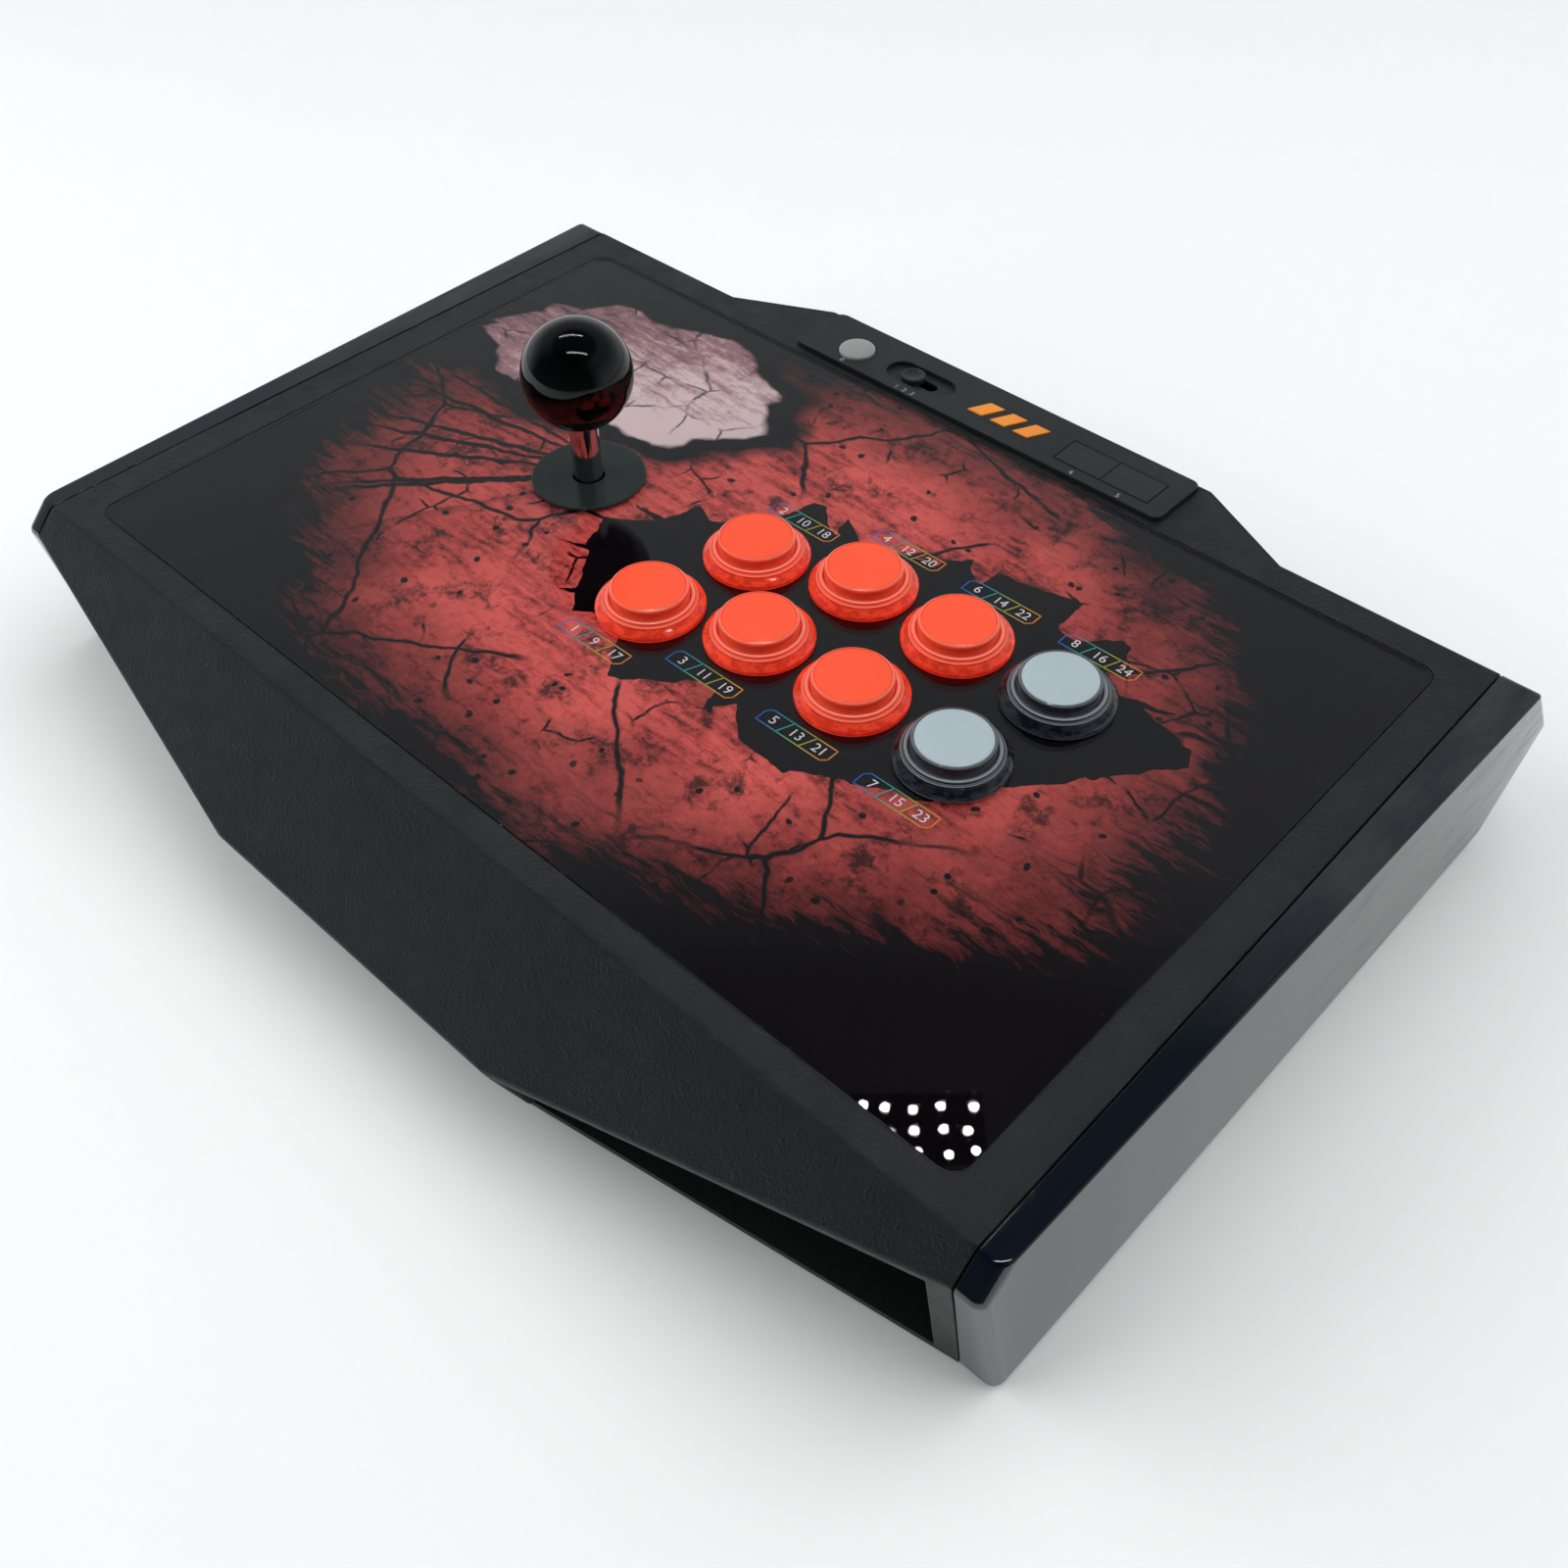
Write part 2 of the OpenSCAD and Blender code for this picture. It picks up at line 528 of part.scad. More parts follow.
module button_led_boards() color([0.9, 0.9, 0.88]) at_buttons() {
    difference() {
        translate([0, 0, switch_top]) cylinder(h = led_board_t, r = 14.6);
        translate([0, 0, housing_low - 3]) cylinder(h = 6, r = 2);
    }
    for (a = [45:90:315]) rotate([0, 0, a]) translate([8.5, 0, housing_low + 0.5 - eps])
        cube([3.4, 3.4, 1], center = true);
}

// Lever: heights are counted down from the pivot
plate_metal = 1.6;                 // thickness of the mounting plate and of the switch board
mount_z = under_z - lever_boss_h - plate_metal;     // underside of the mounting plate
race_r = 13;
pin_ball_r = 9;
race_half = 5.2;
flange_d = 7.5;                    // flange that the spring pushes on
seat_d = 14.8;                     // spring seat
actuator_d = 16.5;
ring_d = 25.2;                     // snap ring's groove
board_d = 26.6;
tip_d = ring_d + 5.2;              // lower end of the shaft
gate_z = pivot_z - 32;
gate_t = 3;
case_half = 29;                    // half width of the lever's housing
post_at = case_half - 4;           // the housing's corner posts
post_bore = 1.2;
module below(d) at_lever() translate([0, 0, pivot_z - d]) children();
module at_posts() for (x = [-1, 1], y = [-1, 1]) translate([x * post_at, y * post_at, 0]) children();

ball_low = top_z + ball_up - ball_r;
module ball_top() color([0.02, 0.02, 0.025]) at_lever() difference() {
    translate([0, 0, top_z + ball_up]) sphere(ball_r, $fn = 96);
    translate([0, 0, ball_low - 1]) cylinder(h = 13, r = 3);
    translate([0, 0, ball_low - 8]) cylinder(h = 8.6, r = 8);
}
module lever_shaft() color([0.80, 0.81, 0.83]) at_lever() difference() {
    union() {
        translate([0, 0, pivot_z - ring_d]) cylinder(h = ball_low + 0.5 - pivot_z + ring_d, r = shaft_r);
        translate([0, 0, ball_low]) cylinder(h = 11, r = 3);
        translate([0, 0, pivot_z - tip_d]) cylinder(h = tip_d - ring_d + 0.1, r = 4);
    }
    translate([0, 0, pivot_z - ring_d - 0.9]) difference() {
        cylinder(h = 0.8, r = 5);
        translate([0, 0, -1]) cylinder(h = 3, r = 3.2);
    }
}
module lever_e_ring() color([0.35, 0.36, 0.38]) below(ring_d + 0.85) difference() {
    cylinder(h = 0.7, r = 6.2);
    translate([0, 0, -1]) cylinder(h = 3, r = 3.2);
    translate([-1.6, 0, -1]) cube([3.2, 10, 3]);
}
module lever_pivot_ball() color([0.88, 0.88, 0.86]) at_lever() difference() {
    union() {
        intersection() {
            translate([0, 0, pivot_z]) sphere(pin_ball_r - fit_gap, $fn = 96);
            translate([0, 0, pivot_z]) cube([30, 30, 14], center = true);
        }
        translate([0, 0, pivot_z - flange_d]) cylinder(h = 0.6, r = 8.4);
    }
    translate([0, 0, pivot_z - 20]) cylinder(h = 40, r = shaft_r + fit_gap);
}
module lever_pivot_race() color([0.16, 0.16, 0.18]) at_lever() difference() {
    intersection() {
        translate([0, 0, pivot_z]) sphere(race_r - fit_gap, $fn = 96);
        translate([0, 0, pivot_z]) cube([30, 30, 2 * race_half], center = true);
    }
    translate([0, 0, pivot_z]) sphere(pin_ball_r, $fn = 96);
}
skirt_h = pivot_z - 13 - gate_z - gate_t;
module lever_housing() color([0.92, 0.91, 0.88]) at_lever() difference() {
    union() {
        translate([0, 0, mount_z - 3]) linear_extrude(3) square([2 * case_half, 50], center = true);
        translate([0, 0, pivot_z - 14]) cylinder(h = mount_z - pivot_z + 12, r = race_r + 2.6);
        translate([0, 0, pivot_z - 14]) linear_extrude(2.4) square(2 * case_half, center = true);
        difference() {
            translate([0, 0, gate_z + gate_t]) linear_extrude(skirt_h) square(2 * case_half, center = true);
            translate([0, 0, gate_z]) linear_extrude(30) square(2 * case_half - 4, center = true);
        }
        at_posts() translate([0, 0, gate_z + gate_t]) cylinder(h = skirt_h, r = 3);
    }
    translate([0, 0, pivot_z]) sphere(race_r, $fn = 96);
    translate([0, 0, pivot_z]) cylinder(h = 30, r = 10.4);
    translate([0, 0, pivot_z - 30]) cylinder(h = 30, r = 12.6);
    at_posts() translate([0, 0, gate_z]) cylinder(h = 9, r = post_bore);
}
module lever_mount_plate() color([0.66, 0.67, 0.68]) at_lever() difference() {
    translate([0, 0, mount_z]) linear_extrude(plate_metal) rounded(94, 50, 4);
    translate([0, 0, mount_z - 1]) cylinder(h = 5, r = 11);
    for (x = [-1, 1], y = [-1, 1]) translate([x * lever_screw[0], y * lever_screw[1], mount_z - 1])
        cylinder(h = 5, r = 1.8);
}
module lever_gate() color([0.9, 0.9, 0.3]) at_lever() difference() {
    translate([0, 0, gate_z]) linear_extrude(gate_t) square(2 * case_half, center = true);
    translate([0, 0, gate_z - 1]) linear_extrude(10) square(2 * gate_half, center = true);
    at_posts() translate([0, 0, gate_z - 1]) cylinder(h = 9, r = post_bore);
}
gate_half = 4 + 31 * tan(tilt_max) + 0.3;     // the shaft's tip at full tilt, with a gap
module lever_actuator() color([0.85, 0.2, 0.15]) below(ring_d - 0.1) difference() {
    cylinder(h = ring_d - actuator_d, r = 6.5);
    translate([0, 0, -1]) cylinder(h = 30, r = shaft_r + fit_gap);
}
module lever_spring_seat() color([0.2, 0.2, 0.22]) below(seat_d + 1.5) difference() {
    cylinder(h = 1.5, r = 9.6);
    translate([0, 0, -1]) cylinder(h = 30, r = shaft_r + fit_gap);
}
// A coil spring swept as one closed solid: rings of points along the helix
spring_wire = 0.6;
spring_turns = 4;
spring_steps = 20;
spring_sides = 8;
spring_mid = 7;
spring_low = pivot_z - seat_d + spring_wire + 0.1;
spring_high = pivot_z - flange_d - spring_wire - 0.1;
function spring_ring(k) = let (a = 360 * k / spring_steps, n = spring_turns * spring_steps)
    [for (j = [0:spring_sides - 1])
        let (b = 360 * j / spring_sides, r = spring_mid + spring_wire * cos(b),
             z = spring_low + (spring_high - spring_low) * k / n)
        [r * cos(a), r * sin(a), z + spring_wire * sin(b)]];
module lever_spring() color([0.75, 0.76, 0.78]) at_lever() {
    n = spring_turns * spring_steps;
    polyhedron(
        points = [for (k = [0:n]) each spring_ring(k)],
        faces = concat(
            [[for (j = [0:spring_sides - 1]) j]],
            [for (k = [0:n - 1], j = [0:spring_sides - 1])
                let (a = k * spring_sides, b = a + spring_sides, i = (j + 1) % spring_sides)
                [a + j, b + j, b + i, a + i]],
            [[for (j = [spring_sides - 1:-1:0]) n * spring_sides + j]]));
}
module lever_switch_board() color(board_green) below(board_d + plate_metal) difference() {
    linear_extrude(plate_metal) square(2 * case_half - 4.4, center = true);
    translate([0, 0, -1]) cylinder(h = 5, r = 11.5);
    at_posts() translate([0, 0, -1]) cylinder(h = 9, r = 3.2);
}
switch_reach = 11.7;          // from the lever's axis to a microswitch's face
module lever_microswitches() color([0.12, 0.12, 0.13]) below(board_d) for (a = [0:90:270]) rotate(a) {
    translate([switch_reach, -10, 0]) cube([6.4, 20, 10]);
    // spring blade that the actuator pushes
    translate([switch_reach - 1.3, -8, 2.6]) cube([0.4, 16, 4]);
    translate([switch_reach - 1.2, -9.5, 2.6]) cube([1.3, 1.6, 4]);
}
module dust_washer() color([0.05, 0.05, 0.055]) at_lever() translate([0, 0, top_z + 0.1]) difference() {
    cylinder(h = 1, r = washer_r);
    translate([0, 0, -1]) cylinder(h = 5, r = shaft_r + 0.4);
}
module lower_dust_washer() color([0.07, 0.07, 0.075]) at_lever()
    translate([0, 0, under_z - lever_boss_h + 0.1]) difference() {
        cylinder(h = 1, r = 17);
        translate([0, 0, -1]) cylinder(h = 5, r = 8);
    }

top_cover();
bottom_cover();
left_side_cap();
right_side_cap();
artwork_sheet();
clear_panel();
console_strip();
console_emblem();
home_button();
turbo_button();
macro_button();
mode_selector();
console_board();
main_board();
audio_jack();
cable_grommet();
rubber_feet();
bottom_screws();
internal_screws();
ball_top();
lever_shaft();
lever_e_ring();
lever_pivot_ball();
lever_pivot_race();
lever_spring();
lever_spring_seat();
lever_actuator();
lever_housing();
lever_mount_plate();
lever_gate();
lever_switch_board();
lever_microswitches();
dust_washer();
lower_dust_washer();
for (i = [0:7]) {
    button_housing(i);
    button_plunger(i);
    button_insert(i);
}
button_microswitches();
button_led_boards();
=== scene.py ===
import json
import math

import bmesh
import bpy
from mathutils import Matrix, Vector
from mathutils.bvhtree import BVHTree

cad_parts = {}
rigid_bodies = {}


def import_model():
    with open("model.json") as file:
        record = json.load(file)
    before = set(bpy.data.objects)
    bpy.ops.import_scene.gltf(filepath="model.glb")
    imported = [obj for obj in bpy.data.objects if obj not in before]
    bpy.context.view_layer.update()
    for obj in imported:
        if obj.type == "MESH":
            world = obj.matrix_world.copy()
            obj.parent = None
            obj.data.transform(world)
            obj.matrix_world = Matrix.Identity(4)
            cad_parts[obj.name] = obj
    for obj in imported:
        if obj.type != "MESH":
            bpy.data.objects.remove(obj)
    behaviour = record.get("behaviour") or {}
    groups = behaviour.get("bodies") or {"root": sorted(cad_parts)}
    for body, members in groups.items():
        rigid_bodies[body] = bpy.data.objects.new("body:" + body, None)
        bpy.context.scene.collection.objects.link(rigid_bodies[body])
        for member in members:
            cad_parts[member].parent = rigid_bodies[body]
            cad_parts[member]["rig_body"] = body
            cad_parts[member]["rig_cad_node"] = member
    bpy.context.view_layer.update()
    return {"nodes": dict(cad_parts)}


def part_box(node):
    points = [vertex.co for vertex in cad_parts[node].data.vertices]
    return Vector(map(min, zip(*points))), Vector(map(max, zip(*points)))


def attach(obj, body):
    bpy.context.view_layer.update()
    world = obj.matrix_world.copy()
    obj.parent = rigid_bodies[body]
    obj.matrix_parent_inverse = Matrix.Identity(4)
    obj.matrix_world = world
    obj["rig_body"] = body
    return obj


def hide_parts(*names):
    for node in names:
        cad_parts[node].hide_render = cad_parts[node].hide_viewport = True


mm = 0.001
mergeGap = 2e-6  # metres, for meshes copied from the CAD
flatDegrees = 0.4  # faces closer to level than this are joined
rayLift = 2e-4  # metres, off the surface
poleGap = 1e-6
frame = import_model()
nodes = frame["nodes"]
print("frame loaded:", len(nodes), "CAD nodes")


def deselectAll():
    if bpy.context.object is not None and bpy.context.object.mode != "OBJECT":
        bpy.ops.object.mode_set(mode="OBJECT")
    bpy.ops.object.select_all(action="DESELECT")


def makeActive(piece):
    deselectAll()
    piece.select_set(True)
    bpy.context.view_layer.objects.active = piece


def startEdit(piece, kind="EDGE", action="DESELECT"):
    makeActive(piece)
    bpy.ops.object.mode_set(mode="EDIT")
    bpy.ops.mesh.select_mode(type=kind)
    bpy.ops.mesh.select_all(action=action)


def endEdit():
    bpy.ops.object.mode_set(mode="OBJECT")


def pickEdges(piece, test):  # in edit mode, selects the edges that pass the test
    editMesh = bmesh.from_edit_mesh(piece.data)
    editMesh.normal_update()
    for edge in editMesh.edges:
        edge.select_set(bool(test(edge)))
    bmesh.update_edit_mesh(piece.data)


def pickFaces(piece, test):
    editMesh = bmesh.from_edit_mesh(piece.data)
    editMesh.normal_update()
    for face in editMesh.faces:
        face.select_set(bool(test(face)))
    bmesh.update_edit_mesh(piece.data)


def applyPlace(piece):  # the object ends at the origin, its place in its mesh
    makeActive(piece)
    bpy.ops.object.transform_apply(location=True, rotation=True, scale=True)


def applyModifiers(piece):
    makeActive(piece)
    for modifier in list(piece.modifiers):
        bpy.ops.object.modifier_apply(modifier=modifier.name)


def smoothShade(piece, degrees=32):
    makeActive(piece)
    bpy.ops.object.shade_smooth_by_angle(angle=math.radians(degrees))
    # wide faces stay flat to their edges
    modifier = piece.modifiers.new("WeightedNormal", "WEIGHTED_NORMAL")
    modifier.keep_sharp = True
    modifier.weight = 80
    applyModifiers(piece)


def nameIt(piece, name):
    piece.name = name
    piece.data.name = name
    return piece


def copyNode(nodeName, pieceName):  # a merged copy of a CAD node, the start of a finished piece
    piece = nodes[nodeName].copy()
    piece.data = nodes[nodeName].data.copy()
    nameIt(piece, pieceName)
    piece.parent = None
    del piece["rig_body"]
    del piece["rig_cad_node"]
    bpy.context.scene.collection.objects.link(piece)
    piece.data.materials.clear()
    makeActive(piece)
    bpy.ops.mesh.customdata_custom_splitnormals_clear()
    startEdit(piece, "VERT", "SELECT")
    bpy.ops.mesh.remove_doubles(threshold=mergeGap)
    bpy.ops.mesh.dissolve_limited(angle_limit=math.radians(flatDegrees))
    endEdit()
    return piece


def copyPiece(piece, name, shift):  # a copy with its own mesh, moved by shift
    twin = piece.copy()
    twin.data = piece.data.copy()
    nameIt(twin, name)
    bpy.context.scene.collection.objects.link(twin)
    twin.location = shift
    applyPlace(twin)
    return twin


def joinPieces(pieces, name):
    deselectAll()
    for piece in pieces:
        piece.select_set(True)
    bpy.context.view_layer.objects.active = pieces[0]
    bpy.ops.object.join()
    return nameIt(bpy.context.view_layer.objects.active, name)


def middle(edge):  # in mm
    return (edge.verts[0].co + edge.verts[1].co) / 2 / mm


def convex(edge, degrees=12):
    return len(edge.link_faces) == 2 and edge.calc_face_angle_signed(0) > math.radians(degrees)


def openTest(piece):  # tells an edge that faces open air from one inside the piece
    shape = bmesh.new()
    shape.from_mesh(piece.data)
    tree = BVHTree.FromBMesh(shape)
    shape.free()

    def isOpen(edge):
        if not convex(edge):
            return False
        away = (edge.link_faces[0].normal + edge.link_faces[1].normal).normalized()
        return tree.ray_cast(middle(edge) * mm + away * rayLift, away)[0] is None
    return isOpen


def bevelEdges(piece, test, width, segments=3):
    startEdit(piece)
    pickEdges(piece, test)
    bpy.ops.mesh.bevel(offset=width * mm, segments=segments, profile=0.5, clamp_overlap=False)
    endEdit()


def arc(centreR, centreZ, radius, start, end, steps):  # rings round a corner: 0 is outwards, 90 is up
    turns = [math.radians(start + (end - start) * step / steps) for step in range(steps + 1)]
    return [(centreR + radius * math.cos(turn), centreZ + radius * math.sin(turn)) for turn in turns]


def turnedPiece(name, at, rings, sides=96):  # a lathe shape of (radius, height) rings in mm about at
    deselectAll()
    x, y = at[0] * mm, at[1] * mm
    lastR, lastZ = rings[0]
    bpy.ops.mesh.primitive_circle_add(vertices=sides, radius=lastR * mm, location=(x, y, lastZ * mm))
    piece = nameIt(bpy.context.object, name)
    bpy.ops.object.mode_set(mode="EDIT")
    bpy.ops.mesh.select_mode(type="EDGE")
    bpy.ops.mesh.select_all(action="SELECT")
    for ringR, ringZ in rings[1:]:
        rise = (0, 0, (ringZ - lastZ) * mm)
        grow = ringR / lastR
        bpy.ops.mesh.extrude_region_move(TRANSFORM_OT_translate={"value": rise})
        bpy.ops.transform.resize(value=(grow, grow, 1), center_override=(x, y, ringZ * mm))
        lastR, lastZ = ringR, ringZ
    bpy.ops.mesh.select_all(action="SELECT")
    bpy.ops.mesh.remove_doubles(threshold=poleGap)
    bpy.ops.mesh.select_all(action="DESELECT")
    bpy.ops.mesh.select_non_manifold()
    bpy.ops.mesh.fill_holes(sides=0)
    bpy.ops.mesh.select_all(action="SELECT")
    bpy.ops.mesh.normals_make_consistent(inside=False)
    endEdit()
    applyPlace(piece)
    return piece


def finishPiece(piece, body, slotName, material, *replaced):
    piece.data.materials.clear()
    piece.data.materials.append(material)
    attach(piece, body)
    if replaced:
        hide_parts(*replaced)
    return piece


def flatText(name, words, size, at):  # numerals as a mesh, centred on at
    deselectAll()
    bpy.ops.object.text_add(location=[value * mm for value in at])
    piece = nameIt(bpy.context.object, name)
    piece.data.body = words
    piece.data.size = size * mm
    piece.data.align_x = "CENTER"
    piece.data.align_y = "CENTER"
    piece.data.resolution_u = 4
    makeActive(piece)
    bpy.ops.object.convert(target="MESH")
    piece = nameIt(bpy.context.object, name)
    applyPlace(piece)
    return piece


# Shader helpers; every pattern sits on the piece's own coordinates, in mm
def newMaterial(name):
    material = bpy.data.materials.new(name)
    material.use_nodes = True
    return material, material.node_tree, material.node_tree.nodes["Principled BSDF"]


def addNode(tree, kind, feeds=None, **settings):
    item = tree.nodes.new(kind)
    for key, value in settings.items():
        setattr(item, key, value)
    for key, value in (feeds or {}).items():
        if isinstance(value, bpy.types.NodeSocket):
            tree.links.new(value, item.inputs[key])
        else:
            item.inputs[key].default_value = value
    return item


def calc(tree, operation, first, second=0.0, clamp=False):
    feeds = {0: first, 1: second}
    return addNode(tree, "ShaderNodeMath", feeds, operation=operation, use_clamp=clamp).outputs[0]


def ramp(tree, value, stops):  # stops are (position, grey or colour), in rising order
    span = max(1.0, stops[-1][0])
    if span > 1:
        value = calc(tree, "DIVIDE", value, span)
    item = addNode(tree, "ShaderNodeValToRGB", {0: value})
    marks = item.color_ramp.elements
    marks[0].position = stops[0][0] / span
    marks[1].position = stops[-1][0] / span
    for position, shade in stops[1:-1]:
        marks.new(position / span)
    for position, shade in stops:
        mark = min(marks, key=lambda each: abs(each.position - position / span))
        mark.color = (*shade, 1) if isinstance(shade, tuple) else (shade, shade, shade, 1)
    return item.outputs[0]


def blend(tree, factor, first, second, mode="MIX"):
    item = addNode(tree, "ShaderNodeMix", data_type="RGBA", blend_type=mode, clamp_factor=True)
    for index, value in ((0, factor), (6, first), (7, second)):
        if isinstance(value, bpy.types.NodeSocket):
            tree.links.new(value, item.inputs[index])
        else:
            item.inputs[index].default_value = (*value, 1) if index else value
    return item.outputs[2]


def placeIn(tree, scale=(1000, 1000, 1000), turn=0):  # scale 1000 gives mm
    source = addNode(tree, "ShaderNodeTexCoord").outputs["Object"]
    feeds = {"Vector": source, "Rotation": (0, 0, math.radians(turn)), "Scale": scale}
    return addNode(tree, "ShaderNodeMapping", feeds).outputs[0]


def noise(tree, place, period, detail=4.0, rough=0.5, output=0):
    feeds = {"Vector": place, "Scale": 1 / period, "Detail": detail, "Roughness": rough}
    return addNode(tree, "ShaderNodeTexNoise", feeds).outputs[output]


def cells(tree, place, period, feature="F1", output="Distance", dimensions="3D", randomness=1.0):
    feeds = {"Vector": place, "Scale": 1 / period, "Randomness": randomness}
    item = addNode(tree, "ShaderNodeTexVoronoi", feeds, feature=feature, voronoi_dimensions=dimensions)
    return item.outputs[output]


def setSockets(shader, **values):
    for key, value in values.items():
        shader.inputs[key.replace("_", " ")].default_value = value


def roughnessFrom(tree, shader, value, low, high):
    tree.links.new(ramp(tree, value, [(0.3, low), (0.7, high)]), shader.inputs["Roughness"])


def addBump(tree, shader, height, strength, distance):  # distance in mm
    feeds = {"Height": height, "Strength": strength, "Distance": distance * mm}
    tree.links.new(addNode(tree, "ShaderNodeBump", feeds).outputs[0], shader.inputs["Normal"])


def tinted(colour, amount):
    return tuple(min(1.0, max(0.0, channel * (1 + amount))) for channel in colour)


def plastic(name, colour, rough, grain=0.0, period=0.8, uneven=0.15, shine=0.5):
    material, tree, shader = newMaterial(name)
    place = placeIn(tree)
    broad = noise(tree, place, 42.0, 5)
    shades = [(0.3, tinted(colour, -uneven)), (0.7, tinted(colour, uneven))]
    tree.links.new(ramp(tree, broad, shades), shader.inputs["Base Color"])
    mottle = noise(tree, place, 7.0, 6, 0.6)
    roughnessFrom(tree, shader, mottle, rough * (1 - uneven), min(1, rough * (1 + uneven)))
    if grain:
        swell = noise(tree, place, period * 2, 3, 0.6)
        wrinkle = calc(tree, "ABSOLUTE", calc(tree, "SUBTRACT", swell, 0.5))
        fine = calc(tree, "MULTIPLY", noise(tree, place, period * 0.6, 3), 0.35)
        addBump(tree, shader, calc(tree, "ADD", wrinkle, fine), grain, period * 0.8)
    setSockets(shader, Specular_IOR_Level=shine)
    return material


def metal(name, colour, rough, streak=0.2):
    material, tree, shader = newMaterial(name)
    place = placeIn(tree)
    brushed = noise(tree, placeIn(tree, (1000, 1000, 60)), 0.6, 3)
    tree.links.new(ramp(tree, noise(tree, place, 18, 4), [(0.3, tinted(colour, -0.08)), (0.7, colour)]),
                   shader.inputs["Base Color"])
    roughnessFrom(tree, shader, brushed, rough * (1 - streak), rough * (1 + streak))
    setSockets(shader, Metallic=1.0)
    return material


def seeThrough(name, colour, rough, ior, clear=1.0, dust=0.0):  # clear plastic that lets the lamps through
    material, tree, shader = newMaterial(name)
    place = placeIn(tree)
    setSockets(shader, IOR=ior, Transmission_Weight=clear)
    shades = [(0.3, tinted(colour, -0.06)), (0.7, colour)]
    tree.links.new(ramp(tree, noise(tree, place, 20, 4), shades), shader.inputs["Base Color"])
    roughnessFrom(tree, shader, noise(tree, place, 14, 6, 0.65), rough * 0.6, rough * 1.5)
    if dust:  # a speck in a small share of the cells
        pitch = 3.2
        specks = ramp(tree, cells(tree, place, pitch), [(0.035, 1.0), (0.06, 0.0)])
        chance = cells(tree, place, pitch, output="Color")
        few = ramp(tree, chance, [(1 - dust, 0.0), (1 - dust + 0.02, 1.0)])
        weight = calc(tree, "SUBTRACT", 1.0, calc(tree, "MULTIPLY", specks, few), True)
        tree.links.new(calc(tree, "MULTIPLY", weight, clear), shader.inputs["Transmission Weight"])
    output = tree.nodes["Material Output"]
    lampRay = addNode(tree, "ShaderNodeLightPath").outputs["Is Shadow Ray"]
    passing = addNode(tree, "ShaderNodeBsdfTransparent", {"Color": (*colour, 1)})
    mix = addNode(tree, "ShaderNodeMixShader", {0: lampRay, 1: shader.outputs[0], 2: passing.outputs[0]})
    tree.links.new(mix.outputs[0], output.inputs["Surface"])
    return material


# Camera and studio
view = {"place": (0.2666, -0.2550, 0.3711), "lens": 36.6,
        "right": (0.7313, 0.6820, -0.0075), "up": (-0.4951, 0.5383, 0.6821),
        "back": (0.4691, -0.4951, 0.7313)}
cameraData = bpy.data.cameras.new("mainView")
cameraData.lens = view["lens"]
cameraData.sensor_width = 36
cameraData.clip_start = 0.01
camera = bpy.data.objects.new("mainView", cameraData)
columns = [view["right"], view["up"], view["back"], view["place"]]
rows = [[column[row] for column in columns] for row in range(3)]
camera.matrix_world = Matrix(rows + [[0, 0, 0, 1]])
bpy.context.scene.collection.objects.link(camera)
bpy.context.scene.camera = camera

studio = {"tint": (0.93, 1.0, 1.02), "cameraSide": (0.30, -0.95, 0.0), "cameraSideDark": 0.10,
          "glow": [(0.0, 0.85), (0.25, 0.60), (0.48, 0.32), (0.74, 0.27), (0.81, 0.07), (1.0, 0.05)],
          "floorColour": (0.89, 0.90, 0.90), "floorSize": 7.0}
lamps = [  # name, place, width, depth, power
    ("key", (0.45, 0.60, 1.60), 2.2, 2.2, 31.5),
    ("fill", (-1.10, -1.00, 0.90), 1.8, 1.8, 27),
]
world = bpy.data.worlds.new("softRoom")
bpy.context.scene.world = world
world.use_nodes = True
worldTree = world.node_tree
towards = addNode(worldTree, "ShaderNodeTexCoord").outputs["Generated"]
height = addNode(worldTree, "ShaderNodeSeparateXYZ", {0: towards}).outputs[2]
facing = addNode(worldTree, "ShaderNodeVectorMath", {0: towards, 1: studio["cameraSide"]},
                 operation="DOT_PRODUCT").outputs["Value"]
shade = ramp(worldTree, facing, [(0.0, 1.0), (0.45, studio["cameraSideDark"])])
glow = blend(worldTree, 1.0, ramp(worldTree, height, studio["glow"]), shade, "MULTIPLY")
roomColour = blend(worldTree, 1.0, glow, studio["tint"], "MULTIPLY")
worldTree.links.new(roomColour, worldTree.nodes["Background"].inputs["Color"])
bpy.context.scene.view_settings.view_transform = "Standard"
for name, place, width, depth, power in lamps:
    lampData = bpy.data.lights.new(name, "AREA")
    lampData.shape = "RECTANGLE"
    lampData.size = width
    lampData.size_y = depth
    lampData.energy = power
    lamp = bpy.data.objects.new(name, lampData)
    lamp.location = place
    lamp.rotation_euler = (-lamp.location).to_track_quat("-Z", "Y").to_euler()
    lamp.visible_glossy = False
    lamp.visible_transmission = False
    bpy.context.scene.collection.objects.link(lamp)

# Two bars of small round lights that show only as glints
barLook = {"length": 940, "width": 96, "pitch": 32, "dot": 6.0, "power": 110.0, "turn": 43.0,
           "scatter": 0.35, "middles": [(-584, 297, 1400), (313, -138, 1400)]}
barGlow = bpy.data.materials.new("barGlow")
barGlow.use_nodes = True
barTree = barGlow.node_tree
barTree.nodes.remove(barTree.nodes["Principled BSDF"])
dots = cells(barTree, placeIn(barTree, turn=-barLook["turn"]), barLook["pitch"], dimensions="2D",
             randomness=barLook["scatter"])
dotSize = barLook["dot"] / barLook["pitch"]
disc = ramp(barTree, dots, [(dotSize * 0.85, 1.0), (dotSize, 0.0)])
strength = calc(barTree, "MULTIPLY", disc, barLook["power"])
emission = addNode(barTree, "ShaderNodeEmission", {"Strength": strength})
